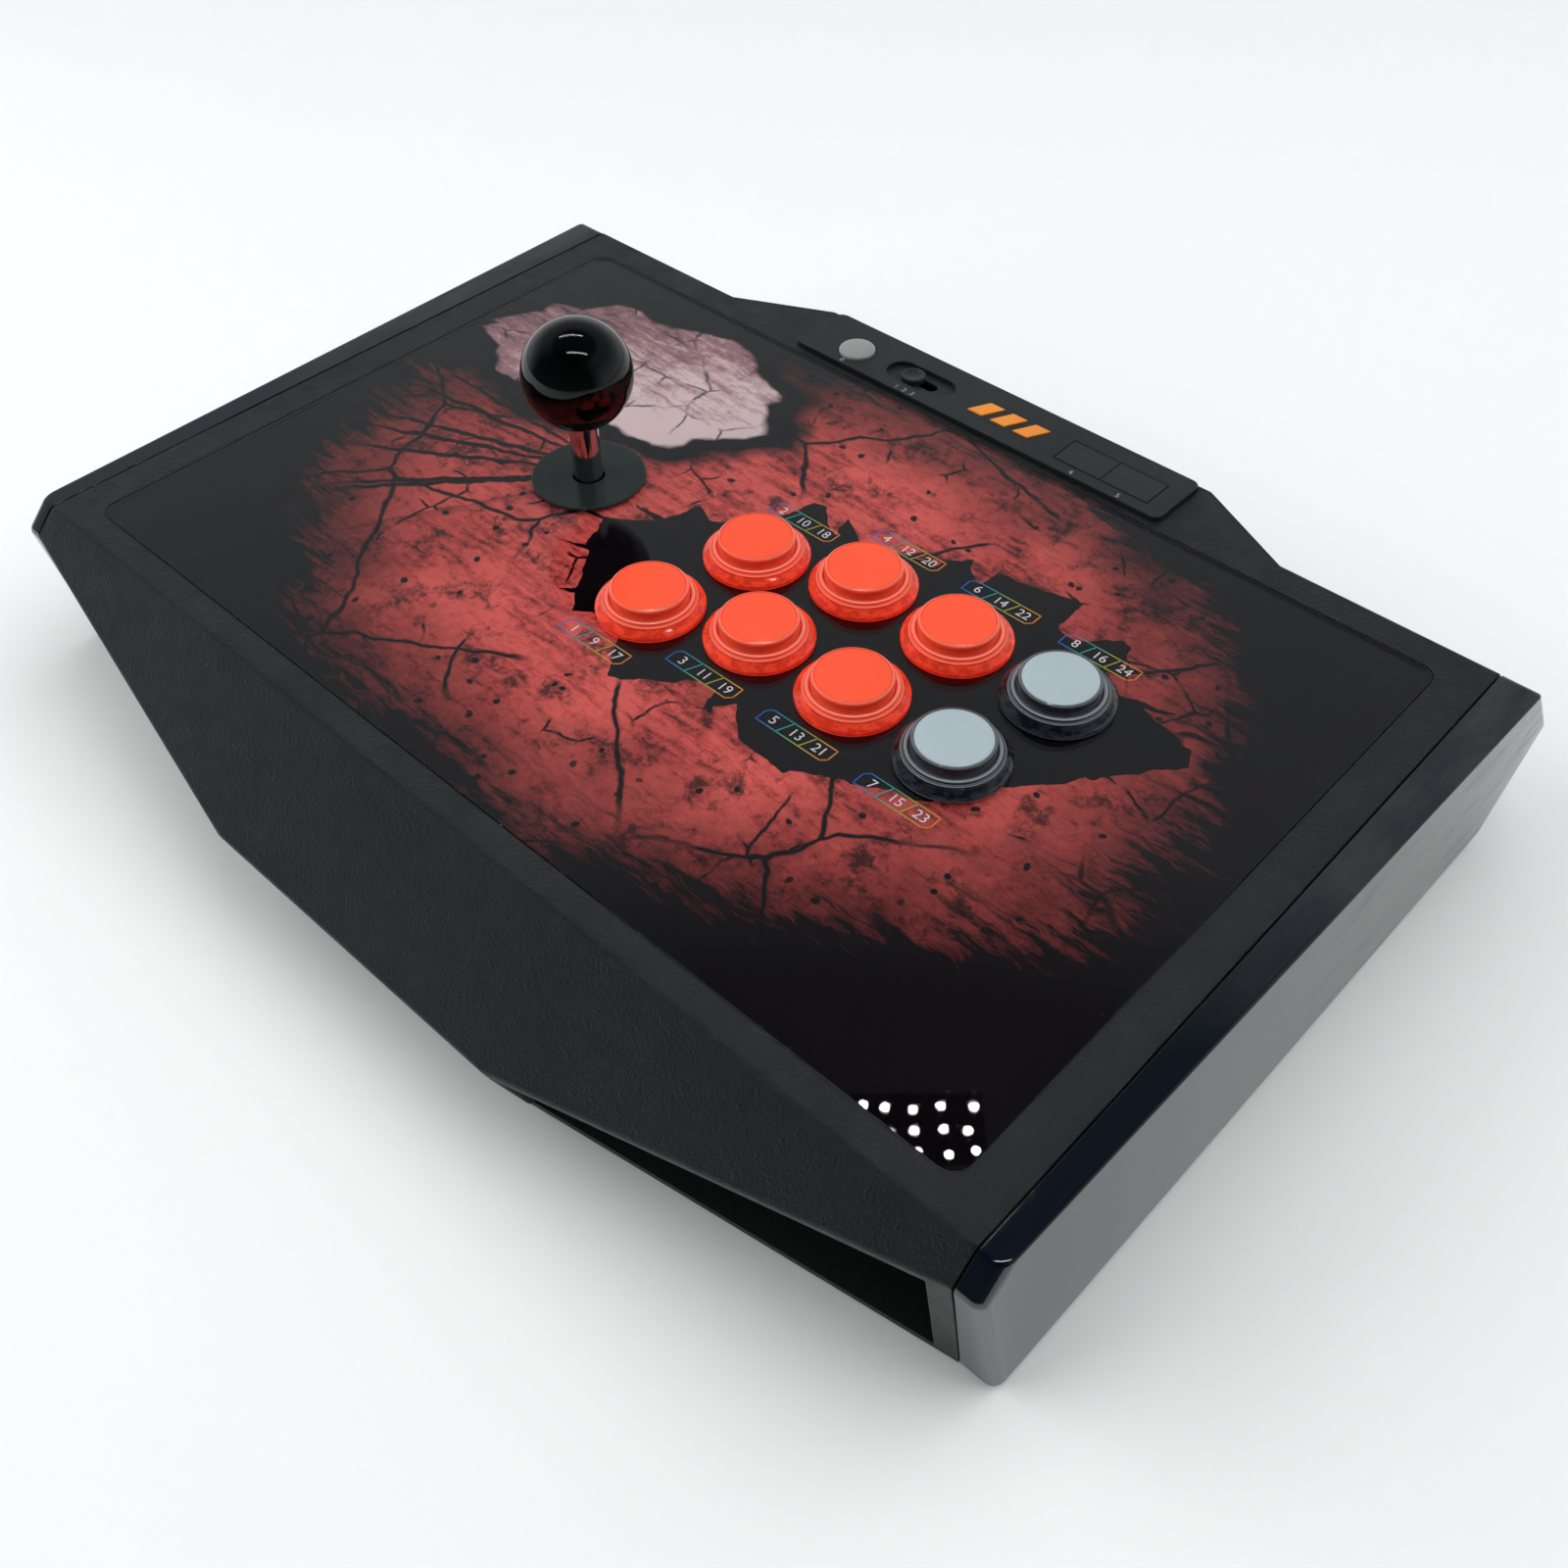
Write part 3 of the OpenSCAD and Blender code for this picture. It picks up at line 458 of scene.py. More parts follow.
barTree.links.new(emission.outputs[0], barTree.nodes["Material Output"].inputs["Surface"])
barGlow.cycles.emission_sampling = "NONE"
barTurn = (0, 0, math.radians(barLook["turn"]))
for barMiddle in barLook["middles"]:
    deselectAll()
    spot = [value * mm for value in barMiddle]
    bpy.ops.mesh.primitive_plane_add(size=1, location=spot, rotation=barTurn)
    bar = nameIt(bpy.context.object, "lightBar")
    bar.scale = (barLook["length"] * mm, barLook["width"] * mm, 1)
    applyPlace(bar)
    bar.data.materials.append(barGlow)
    bar.visible_diffuse = False
    bar.visible_camera = False
    bar.visible_shadow = False

deselectAll()
bpy.ops.mesh.primitive_plane_add(size=studio["floorSize"], location=(0, 0, 0))
floor = nameIt(bpy.context.object, "paleFloor")
floorMaterial, floorTree, floorShader = newMaterial("palePaper")
floorShade = ramp(floorTree, noise(floorTree, placeIn(floorTree), 260, 4),
                  [(0.3, tinted(studio["floorColour"], -0.01)), (0.7, studio["floorColour"])])
floorTree.links.new(floorShade, floorShader.inputs["Base Color"])
setSockets(floorShader, Roughness=0.7)
floor.data.materials.append(floorMaterial)
print("camera and studio ready")


# Case: grained matt shells with rounded edges
caseLook = {"colour": (0.0045, 0.0062, 0.0067), "rough": 0.5, "grain": 0.9, "grainPeriod": 0.9,
            "shine": 0.5, "edgeRound": 0.9, "rimRound": 0.3, "seamRound": 0.3, "footEdge": 4.6}
caseBlack = plastic("grainedBlack", caseLook["colour"], caseLook["rough"], caseLook["grain"],
                    caseLook["grainPeriod"], shine=caseLook["shine"])
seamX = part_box("right_side_cap")[0].x / mm
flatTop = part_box("clear_panel")[1].z / mm
panelLow, panelHigh = [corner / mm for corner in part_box("clear_panel")]
stripLow, stripHigh = [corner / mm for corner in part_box("console_strip")]

caseShell = copyNode("top_cover", "caseShell")
isOpen = openTest(caseShell)


def overPanel(place):
    return panelLow.x - 1 < place.x < panelHigh.x + 1 and panelLow.y - 1 < place.y < panelHigh.y + 1


def outerEdge(edge):
    place = middle(edge)
    if not isOpen(edge) or place.z < caseLook["footEdge"] or abs(place.x) > seamX - 0.2:
        return False
    nearStrip = abs(place.x) < stripHigh.x + 1 and place.y > stripLow.y - 1
    return not (place.z > flatTop - 5 and (overPanel(place) or nearStrip))


def rimEdge(edge):
    place = middle(edge)
    if place.z < flatTop - 0.05 or not convex(edge):
        return False
    nearStrip = abs(place.x) < stripHigh.x + 1 and stripLow.y - 1 < place.y < stripHigh.y - 1
    return overPanel(place) or nearStrip


def seamEdge(edge):
    return abs(middle(edge).x) > seamX - 0.01 and isOpen(edge)


bevelEdges(caseShell, outerEdge, caseLook["edgeRound"])
bevelEdges(caseShell, seamEdge, caseLook["seamRound"], 2)
bevelEdges(caseShell, rimEdge, caseLook["rimRound"], 2)
smoothShade(caseShell)
finishPiece(caseShell, "case", "case_black", caseBlack, "top_cover")

# the grey that lightens the cap tops towards the rear is painted reflection
capLook = {"colour": (0.0008, 0.0032, 0.0075), "rough": 0.04, "shine": 0.95, "seamGap": 0.5,
           "edgeRound": 1.3, "cornerRound": 3.4, "seamRound": 0.3,
           "paintedRearSheen": (0.022, 0.025, 0.027), "hazeRough": 0.22}


def glossyPlastic(name, colour, rough, shine):  # polished; a lighter grey painted towards the rear stands in for reflection, laid in smear patches that also dull the gloss
    material, tree, shader = newMaterial(name)
    place = placeIn(tree)
    depth = addNode(tree, "ShaderNodeSeparateXYZ", {0: place}).outputs[1]
    paintedRearSheen = ramp(tree, calc(tree, "DIVIDE", calc(tree, "ADD", depth, 150), 300), [(0.36, 0.0), (0.60, 1.0)])
    wipes = noise(tree, placeIn(tree, (420, 130, 420), 12), 4, 7, 0.7)
    smearAndSheen = calc(tree, "MULTIPLY", ramp(tree, wipes, [(0.40, 0.15), (0.66, 1.0)]), paintedRearSheen)
    # painted reflection: lighter grey blended into the colour towards the rear, in smear patches
    tree.links.new(blend(tree, smearAndSheen, colour, capLook["paintedRearSheen"]), shader.inputs["Base Color"])
    dulling = calc(tree, "MULTIPLY", smearAndSheen, capLook["hazeRough"])
    tree.links.new(calc(tree, "ADD", rough, dulling), shader.inputs["Roughness"])
    setSockets(shader, Specular_IOR_Level=shine)
    return material


capGloss = glossyPlastic("glossBlack", capLook["colour"], capLook["rough"], capLook["shine"])
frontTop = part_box("right_side_cap")[0].y / mm


def frontCorner(edge):
    rise = abs((edge.verts[0].co - edge.verts[1].co).normalized().z)
    place = middle(edge)
    return abs(place.x) > seamX + 5 and place.y < frontTop + 12 and rise > 0.5 and convex(edge, 40)


def outerCapEdge(edge):
    return abs(middle(edge).x) > seamX + 1 and isOpen(edge) and convex(edge, 25)


def seamCapEdge(edge):
    return abs(middle(edge).x) < seamX + 0.6 and isOpen(edge) and convex(edge, 50)


for side, sign in (("left", -1), ("right", 1)):
    cap = copyNode(side + "_side_cap", side + "SideCap")
    startEdit(cap, "FACE")
    seamLimit = (seamX + 0.1) * mm
    pickFaces(cap, lambda face: face.normal.x * sign < -0.9 and abs(face.calc_center_median().x) < seamLimit)
    bpy.ops.transform.translate(value=(sign * capLook["seamGap"] * mm, 0, 0))
    endEdit()
    bevelEdges(cap, frontCorner, capLook["cornerRound"], 5)
    isOpen = openTest(cap)
    bevelEdges(cap, outerCapEdge, capLook["edgeRound"], 4)
    bevelEdges(cap, seamCapEdge, capLook["seamRound"], 2)
    smoothShade(cap)
    finishPiece(cap, "case", "cap_gloss", capGloss, side + "_side_cap")
print("case and side caps rounded")


# Printed panel under a clear sheet
def warped(tree, place, period, amount, detail=3.0):
    shift = noise(tree, place, period, detail, output=1)
    feeds = {0: shift, 1: (-0.5, -0.5, -0.5)}
    centred = addNode(tree, "ShaderNodeVectorMath", feeds, operation="ADD").outputs[0]
    grown = addNode(tree, "ShaderNodeVectorMath", {0: centred, 1: (amount, amount, 0)}, operation="MULTIPLY")
    return addNode(tree, "ShaderNodeVectorMath", {0: place, 1: grown.outputs[0]}, operation="ADD").outputs[0]


def split(tree, vector):
    parts = addNode(tree, "ShaderNodeSeparateXYZ", {0: vector})
    return parts.outputs[0], parts.outputs[1]


def ovalFrom(tree, centre, radii, turn, source):  # 1 on the oval's edge, 0 at its centre; also its angle
    feeds = {0: source, 1: (-centre[0], -centre[1], 0)}
    moved = addNode(tree, "ShaderNodeVectorMath", feeds, operation="ADD")
    feeds = {"Vector": moved.outputs[0], "Rotation": (0, 0, math.radians(-turn))}
    turned = addNode(tree, "ShaderNodeMapping", feeds).outputs[0]
    scaled = addNode(tree, "ShaderNodeVectorMath", {0: turned, 1: (1 / radii[0], 1 / radii[1], 0)},
                     operation="MULTIPLY").outputs[0]
    far = addNode(tree, "ShaderNodeVectorMath", {0: scaled}, operation="LENGTH").outputs["Value"]
    x, y = split(tree, scaled)
    return far, calc(tree, "ARCTAN2", y, x)


def spikes(tree, angle, count, randomness=1.0):  # 0 on a spike's middle line, about 0.5 between spikes
    feeds = {"W": angle, "Scale": count / math.tau, "Randomness": randomness}
    item = addNode(tree, "ShaderNodeTexVoronoi", feeds, voronoi_dimensions="1D", feature="F1")
    return item.outputs["Distance"]


art = {"rockLight": (0.78, 0.125, 0.105), "rockMid": (0.53, 0.068, 0.061), "rockDark": (0.10, 0.017, 0.018),
       "black": (0.0045, 0.003, 0.0045), "paleLight": (0.80, 0.62, 0.62), "paleMid": (0.40, 0.21, 0.23),
       "paleDark": (0.085, 0.045, 0.055),
       "paleCentre": (-110, 65), "paleRadii": (63, 36), "paleTurn": 8,
       "paleSpikes": 9, "paleGlow": ((-66, 48), (95, 60)),
       "holeCentre": (40, 13), "holeRadii": (80, 40), "holeTurn": 14, "holeSpikes": 13,
       "holeShards": ((24, 0.30), (13, 0.42)),
       "longCrack": 62, "shortCrack": 19, "chip": 7.5, "blot": 15,
       "slashCentre": (-66, 22), "slashReach": (100, 100), "slashes": 46,
       "fadeCentre": (0, 8), "fadeRadii": (163, 112)}


def printedRock():
    material, tree, shader = newMaterial("printedRock")
    place = placeIn(tree)
    loose = warped(tree, place, 26, 15)
    fine = warped(tree, place, 7, 4)
    # rock: broad patches, slanted streaks and grit
    streakPlace = addNode(tree, "ShaderNodeMapping", {"Vector": fine, "Rotation": (0, 0, math.radians(35)),
                                                      "Scale": (0.25, 1.6, 1)}).outputs[0]
    streaks = noise(tree, streakPlace, 5, 8, 0.75)
    patches = noise(tree, place, 34, 6, 0.6)
    grit = noise(tree, place, 2.6, 6, 0.7)
    tone = calc(tree, "ADD", calc(tree, "MULTIPLY", streaks, 1.1), calc(tree, "MULTIPLY", patches, 0.7))
    tone = calc(tree, "ADD", tone, calc(tree, "MULTIPLY", grit, 0.4))
    rock = ramp(tree, tone, [(0.90, art["rockDark"]), (1.04, art["rockMid"]), (1.18, art["rockLight"])])
    blots = ramp(tree, noise(tree, fine, art["blot"], 9, 0.78), [(0.52, 0.0), (0.62, 0.85)])
    # a few long cracks, short cracks and debris
    longEdge = cells(tree, loose, art["longCrack"], "DISTANCE_TO_EDGE", dimensions="2D")
    longCrack = ramp(tree, longEdge, [(0.008, 1.0), (0.018, 0.0)])
    someLong = ramp(tree, noise(tree, place, 48, 2), [(0.42, 0.0), (0.50, 1.0)])
    shortEdge = cells(tree, fine, art["shortCrack"], "DISTANCE_TO_EDGE", dimensions="2D")
    shortCrack = ramp(tree, shortEdge, [(0.014, 1.0), (0.040, 0.0)])
    someShort = ramp(tree, noise(tree, place, 22, 3), [(0.56, 0.0), (0.62, 1.0)])
    cracks = calc(tree, "MAXIMUM", calc(tree, "MULTIPLY", longCrack, someLong),
                  calc(tree, "MULTIPLY", shortCrack, someShort))
    chips = ramp(tree, cells(tree, fine, art["chip"], dimensions="2D"), [(0.12, 1.0), (0.17, 0.0)])
    chipChance = cells(tree, fine, art["chip"], output="Color", dimensions="2D")
    someChips = ramp(tree, chipChance, [(0.72, 0.0), (0.76, 1.0)])
    cracks = calc(tree, "MAXIMUM", cracks, calc(tree, "MULTIPLY", chips, someChips), True)
    cracks = calc(tree, "MAXIMUM", cracks, blots, True)
    picture = blend(tree, cracks, rock, art["black"])
    # dark slashes that fan out from the lever to the lower left
    far, angle = ovalFrom(tree, art["slashCentre"], art["slashReach"], 0, fine)
    slash = calc(tree, "ADD", spikes(tree, angle, art["slashes"]), calc(tree, "MULTIPLY", far, 0.20))
    slash = ramp(tree, slash, [(0.22, 1.0), (0.27, 0.0)])
    fan = ramp(tree, calc(tree, "ABSOLUTE", calc(tree, "ADD", angle, 2.75)), [(0.55, 1.0), (0.75, 0.0)])
    reach = ramp(tree, far, [(0.20, 0.0), (0.26, 1.0), (0.85, 1.0), (1.0, 0.0)])
    slash = calc(tree, "MULTIPLY", slash, calc(tree, "MULTIPLY", fan, reach))
    picture = blend(tree, slash, picture, art["black"])
    # dark edges
    far = ovalFrom(tree, art["fadeCentre"], art["fadeRadii"], 0, warped(tree, place, 45, 40, 5))[0]
    ragged = calc(tree, "ADD", far, calc(tree, "MULTIPLY", calc(tree, "SUBTRACT", streaks, 0.5), 0.7))
    edge = ramp(tree, ragged, [(0.62, 0.0), (1.0, 1.0)])
    picture = blend(tree, edge, picture, art["black"])
    # pale broken boulder behind the lever, in a dark hollow
    far, angle = ovalFrom(tree, art["paleCentre"], art["paleRadii"], art["paleTurn"], loose)
    notches = calc(tree, "MULTIPLY", spikes(tree, angle, art["paleSpikes"], 0.6), -0.26)
    lobes = calc(tree, "ADD", far, notches)
    hollow = ramp(tree, lobes, [(1.02, 1.0), (1.20, 0.0)])
    picture = blend(tree, hollow, picture, art["black"])
    glow = ovalFrom(tree, *art["paleGlow"], 0, loose)[0]
    paleTone = calc(tree, "SUBTRACT", calc(tree, "ADD", tone, 0.40), calc(tree, "MULTIPLY", glow, 0.42))
    pale = ramp(tree, paleTone, [(0.86, art["paleDark"]), (1.12, art["paleMid"]), (1.34, art["paleLight"])])
    paleEdge = cells(tree, fine, art["shortCrack"], "DISTANCE_TO_EDGE", dimensions="2D")
    paleCrack = ramp(tree, paleEdge, [(0.012, 1.0), (0.045, 0.0)])
    somePale = ramp(tree, noise(tree, place, 17, 3), [(0.46, 0.0), (0.58, 0.8)])
    pale = blend(tree, calc(tree, "MULTIPLY", paleCrack, somePale), pale, art["black"])
    boulder = ramp(tree, lobes, [(0.84, 1.0), (0.88, 0.0)])
    picture = blend(tree, boulder, picture, pale)
    # jagged hole round the buttons
    hole = []
    for period, spread in art["holeShards"]:
        shard = cells(tree, fine, period, output="Position", dimensions="2D")
        chance = calc(tree, "MULTIPLY", cells(tree, fine, period, output="Color", dimensions="2D"), spread)
        far = ovalFrom(tree, art["holeCentre"], art["holeRadii"], art["holeTurn"], shard)[0]
        hole.append(calc(tree, "ADD", far, chance))
    far, angle = ovalFrom(tree, art["holeCentre"], art["holeRadii"], art["holeTurn"], fine)
    hole = calc(tree, "MINIMUM", calc(tree, "MINIMUM", hole[0], hole[1]), calc(tree, "ADD", far, 0.22))
    points = calc(tree, "MULTIPLY", spikes(tree, angle, art["holeSpikes"]), 2.2)
    hole = calc(tree, "MINIMUM", hole, calc(tree, "ADD", far, points))
    picture = blend(tree, ramp(tree, hole, [(1.24, 1.0), (1.25, 0.0)]), picture, art["black"])
    tree.links.new(picture, shader.inputs["Base Color"])
    roughnessFrom(tree, shader, grit, 0.38, 0.55)
    setSockets(shader, Specular_IOR_Level=0.0)
    return material


printed = printedRock()
nodes["artwork_sheet"].data.materials.clear()
nodes["artwork_sheet"].data.materials.append(printed)

clearLook = {"colour": (0.985, 0.985, 0.99), "rough": 0.012, "ior": 1.38, "lift": 0.06, "edgeRound": 0.25,
             "dust": 0.05}
clearSheet = copyNode("clear_panel", "clearSheet")
startEdit(clearSheet, "FACE")
pickFaces(clearSheet, lambda face: face.normal.z < -0.9)
bpy.ops.transform.translate(value=(0, 0, clearLook["lift"] * mm))
endEdit()
bevelEdges(clearSheet, lambda edge: middle(edge).z > flatTop - 0.01 and convex(edge),
           clearLook["edgeRound"], 2)
smoothShade(clearSheet, 40)
clearPlastic = seeThrough("clearPlastic", clearLook["colour"], clearLook["rough"], clearLook["ior"],
                          dust=clearLook["dust"])
finishPiece(clearSheet, "case", "clear_sheet", clearPlastic, "clear_panel")

# Numbered tags beside the buttons: three slanted cells in a thin rainbow line, white numerals
tagLook = {"width": 25.5, "height": 5.8, "line": 0.42, "slant": 2.2, "cut": 1.6, "ahead": (-1.7, 23.0),
           "behind": (-1.7, -21.3), "numeral": 4.7}
tagColours = [(0.0, (0.02, 0.10, 0.55)), (0.35, (0.02, 0.35, 0.30)), (0.6, (0.35, 0.42, 0.04)),
              (1.0, (0.75, 0.24, 0.03))]
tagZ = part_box("artwork_sheet")[1].z / mm + 0.01


def tagOutline():  # the line drawing of one tag, centred on the origin, as thin strips
    half, rise = tagLook["width"] / 2, tagLook["height"] / 2
    cut, slant = tagLook["cut"], tagLook["slant"]
    corners = [(-half, -rise), (half - cut, -rise), (half, -rise + cut),
               (half, rise), (-half + cut, rise), (-half, rise - cut)]
    strokes = list(zip(corners, corners[1:] + corners[:1]))
    for x in (-half / 3, half / 3):
        strokes.append(((x - slant / 2, -rise), (x + slant / 2, rise)))
    strips = []
    for (x0, y0), (x1, y1) in strokes:
        length = math.hypot(x1 - x0, y1 - y0) + tagLook["line"] * 0.8
        deselectAll()
        bpy.ops.mesh.primitive_plane_add(size=1, location=((x0 + x1) / 2 * mm, (y0 + y1) / 2 * mm, 0),
                                         rotation=(0, 0, math.atan2(y1 - y0, x1 - x0)))
        bpy.context.object.scale = (length * mm, tagLook["line"] * mm, 1)
        strips.append(bpy.context.object)
        applyPlace(bpy.context.object)
    tag = joinPieces(strips, "tagOutline")
    for loop in tag.data.loops:  # the rainbow runs along the tag
        spot = tag.data.vertices[loop.vertex_index].co / mm
        tag.data.uv_layers[0].data[loop.index].uv = ((spot.x + half) / (2 * half), 0.5)
    return tag


tagInk, tagTree, tagShader = newMaterial("rainbowInk")
tagMap = addNode(tagTree, "ShaderNodeUVMap").outputs[0]
tagPlace = addNode(tagTree, "ShaderNodeSeparateXYZ", {0: tagMap}).outputs[0]
tagTree.links.new(ramp(tagTree, tagPlace, tagColours), tagShader.inputs["Base Color"])
setSockets(tagShader, Roughness=0.5)
whiteInk = plastic("whiteInk", (0.80, 0.80, 0.82), 0.5, uneven=0.05)

firstTag = tagOutline()
buttonCount = 8
tags, numerals = [], []
for number in range(1, buttonCount + 1):
    low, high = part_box("button_%d_housing" % number)
    centre = (low + high) / 2 / mm
    shift = tagLook["ahead"] if number % 2 == 0 else tagLook["behind"]
    at = (centre.x + shift[0], centre.y + shift[1])
    tags.append(copyPiece(firstTag, "tag%d" % number, (at[0] * mm, at[1] * mm, tagZ * mm)))
    for cell in (-1, 0, 1):
        words = str(number + buttonCount * (cell + 1))
        spot = (at[0] + cell * tagLook["width"] / 3, at[1] - 0.1, tagZ)
        numerals.append(flatText("numeral", words, tagLook["numeral"], spot))
bpy.data.objects.remove(firstTag)
tagSet = joinPieces(tags, "buttonTags")
finishPiece(tagSet, "case", "artwork", tagInk)
numeralSet = joinPieces(numerals, "buttonNumerals")
finishPiece(numeralSet, "case", "artwork", whiteInk)
print("printed panel, clear sheet and tags ready")


# Push buttons: modelled once, copied eight times
# the highlight bands below are painted highlights on the clear button plastic
buttonLook = {"ember": (0.95, 0.10, 0.04), "emberMatt": (0.93, 0.085, 0.03), "smoke": (0.11, 0.125, 0.15),
              "slateMatt": (0.37, 0.44, 0.48), "ior": 1.49, "rough": 0.02, "sides": 96,
              "paintedHighlightBands": [(0.0, 1.0), (0.022, 0.9), (0.05, 0.0), (0.425, 0.0), (0.445, 0.75), (0.462, 0.1),
                            (0.53, 0.0), (0.555, 0.85), (0.575, 0.1), (0.93, 0.0), (0.96, 0.35)],
              "ribBands": [(0.05, 0.0), (0.10, 1.0), (0.40, 1.0), (0.43, 0.0), (0.57, 0.0), (0.60, 0.7),
                           (0.80, 0.0)], "ribPeriod": 3.4, "emberCount": 6}
firstLow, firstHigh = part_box("button_1_housing")
buttonZero = (firstLow + firstHigh) / 2 / mm


def lifted(rings):
    return [(radius, flatTop + rise) for radius, rise in rings]


housingRings = lifted([(13.4, -20), (14.8, -20), (14.8, 0), (16.5, 0), (16.65, 0.15), (16.65, 1.05),
                       (16.58, 1.3), (16.35, 1.62), (15.95, 2.0), (15.4, 2.38), (14.95, 2.66), (14.62, 2.9),
                       (14.48, 3.15),
                       (14.42, 3.45), (14.3, 3.62), (14.12, 3.66), (13.95, 3.56), (13.84, 3.42), (13.7, 3.42),
                       (13.58, 3.6), (13.5, 3.95), (13.4, 4.28), (13.22, 4.46), (13.0, 4.5), (12.7, 4.5),
                       (12.45, 4.42), (12.32, 4.2), (12.3, 1.8), (13.4, 1.8), (13.4, -20)])
plungerRings = lifted([(2.5, -15.5), (2.5, -1.4), (11.4, -1.4), (11.4, -9.2), (12.8, -9.2), (12.8, -1.2),
                       (13.0, -1.2), (13.0, 1.6), (12.0, 1.6), (12.0, 6.9)]
                      + arc(11.0, 6.9, 1.0, 0, 70, 5)[1:]
                      + [(11.15, 7.96), (11.05, 7.9), (11.0, 7.75), (11.0, 6.4)])
insertRings = lifted([(10.9, 6.43), (10.95, 6.5), (10.95, 7.55), (10.86, 7.75), (10.6, 7.86), (10.0, 7.9),
                      (5.0, 7.94), (0.4, 7.95)])
housing = turnedPiece("buttonHousing", buttonZero, housingRings, buttonLook["sides"])
plunger = turnedPiece("buttonPlunger", buttonZero, plungerRings, buttonLook["sides"])
insert = turnedPiece("buttonInsert", buttonZero, insertRings, buttonLook["sides"])
for part in (housing, plunger, insert):
    smoothShade(part, 50)


# clear plastic with painted highlights: pale bands by height at the flange foot, the two collar ridges and
# the top rim; darker ribs under the slope
def clearWithPaintedHighlights(name, colour, deep, edge, clear):
    material = seeThrough(name, colour, buttonLook["rough"], buttonLook["ior"], clear)
    tree = material.node_tree
    shader = tree.nodes["Principled BSDF"]
    place = placeIn(tree)
    rise = addNode(tree, "ShaderNodeSeparateXYZ", {0: place}).outputs[2]
    rise = calc(tree, "DIVIDE", calc(tree, "SUBTRACT", rise, flatTop), 8)  # 0 to 1 over the button's height
    # painted highlights: pale colour mixed in where edges and ridges would catch light
    glow = ramp(tree, rise, buttonLook["paintedHighlightBands"])
    slope = ramp(tree, rise, buttonLook["ribBands"])
    ribNoise = noise(tree, placeIn(tree, (1000, 1000, 2600)), buttonLook["ribPeriod"], 3, 0.6)
    ribs = ramp(tree, ribNoise, [(0.44, 0.0), (0.56, 1.0)])
    inside = blend(tree, calc(tree, "MULTIPLY", slope, ribs), colour, deep)
    tree.links.new(blend(tree, glow, inside, edge), shader.inputs["Base Color"])
    share = calc(tree, "MULTIPLY", calc(tree, "SUBTRACT", 1.0, glow), clear)
    tree.links.new(share, shader.inputs["Transmission Weight"])
    return material


# the third colour of each is the painted highlight colour
emberClear = clearWithPaintedHighlights("emberClear", buttonLook["ember"], (0.66, 0.055, 0.025), (1.0, 0.42, 0.30), 0.38)
smokeClear = clearWithPaintedHighlights("smokeClear", buttonLook["smoke"], (0.02, 0.025, 0.03), (0.50, 0.54, 0.57), 0.92)
emberMatt = plastic("emberMatt", buttonLook["emberMatt"], 0.42, 0.25, 0.35, 0.05)
slateMatt = plastic("slateMatt", buttonLook["slateMatt"], 0.42, 0.25, 0.35, 0.05)
for number in range(1, buttonCount + 1):
    low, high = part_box("button_%d_housing" % number)
    shift = (low + high) / 2 - buttonZero * mm
    shift.z = 0
    cadName = "button_%d" % number
    if number <= buttonLook["emberCount"]:
        finishes = [("ember_clear", emberClear), ("ember_clear", emberClear), ("ember_matte", emberMatt)]
    else:
        finishes = [("smoke_clear", smokeClear), ("smoke_clear", smokeClear), ("slate_matte", slateMatt)]
    parts = [(housing, "housing", "case"), (plunger, "plunger", cadName), (insert, "insert", cadName)]
    for (part, kind, body), (slotName, finish) in zip(parts, finishes):
        piece = copyPiece(part, kind + str(number), shift)
        finishPiece(piece, body, slotName, finish, cadName + "_" + kind)
for part in (housing, plunger, insert):
    bpy.data.objects.remove(part)
print("buttons ready")


# Lever: ball top, chromed shaft and dust washers
leverLook = {"ballBlack": (0.0008, 0.0010, 0.0012), "ballRough": 0.035, "washerBlack": (0.014, 0.019, 0.020),
             "washerRough": 0.17, "chrome": (0.62, 0.63, 0.65), "chromeRough": 0.08}
ballLow, ballHigh = [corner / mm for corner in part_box("ball_top")]
leverAt = (ballLow + ballHigh) / 2
ballR = (ballHigh.x - ballLow.x) / 2
ballZ = ballHigh.z - ballR
shaftLow, shaftHigh = [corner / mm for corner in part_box("lever_shaft")]
shaftR = (shaftHigh.x - shaftLow.x) / 2
ballTop = turnedPiece("ballTop", leverAt, arc(0, ballZ, ballR, -74, 89.4, 54), 128)
smoothShade(ballTop, 60)
ballGloss = plastic("ballGloss", leverLook["ballBlack"], leverLook["ballRough"], uneven=0.3, shine=0.3)
finishPiece(ballTop, "lever_stick", "ball_black", ballGloss, "ball_top")
shoulder = ballZ - ballR + 0.5
neckHigh = shaftLow.z + 5.2
shaftRings = [(4.0, shaftLow.z), (4.0, neckHigh), (shaftR, neckHigh), (shaftR, shoulder - 0.5),
              (shaftR - 0.4, shoulder), (3.0, shoulder), (3.0, shoulder + 10)]
shaft = turnedPiece("leverShaft", leverAt, shaftRings, 64)
smoothShade(shaft, 40)
chrome = metal("shaftChrome", leverLook["chrome"], leverLook["chromeRough"])
finishPiece(shaft, "lever_stick", "shaft_chrome", chrome, "lever_shaft")
washerLow, washerHigh = [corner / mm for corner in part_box("dust_washer")]
washerR = (washerHigh.x - washerLow.x) / 2
innerR = shaftR + 0.4
washerRings = ([(innerR, washerLow.z), (washerR - 0.2, washerLow.z), (washerR, washerLow.z + 0.2)]
               + arc(washerR - 0.4, washerHigh.z - 0.4, 0.4, 0, 90, 3)
               + [(innerR + 0.3, washerHigh.z), (innerR, washerHigh.z - 0.3), (innerR, washerLow.z)])
washer = turnedPiece("dustWasher", leverAt, washerRings, 128)
smoothShade(washer, 40)
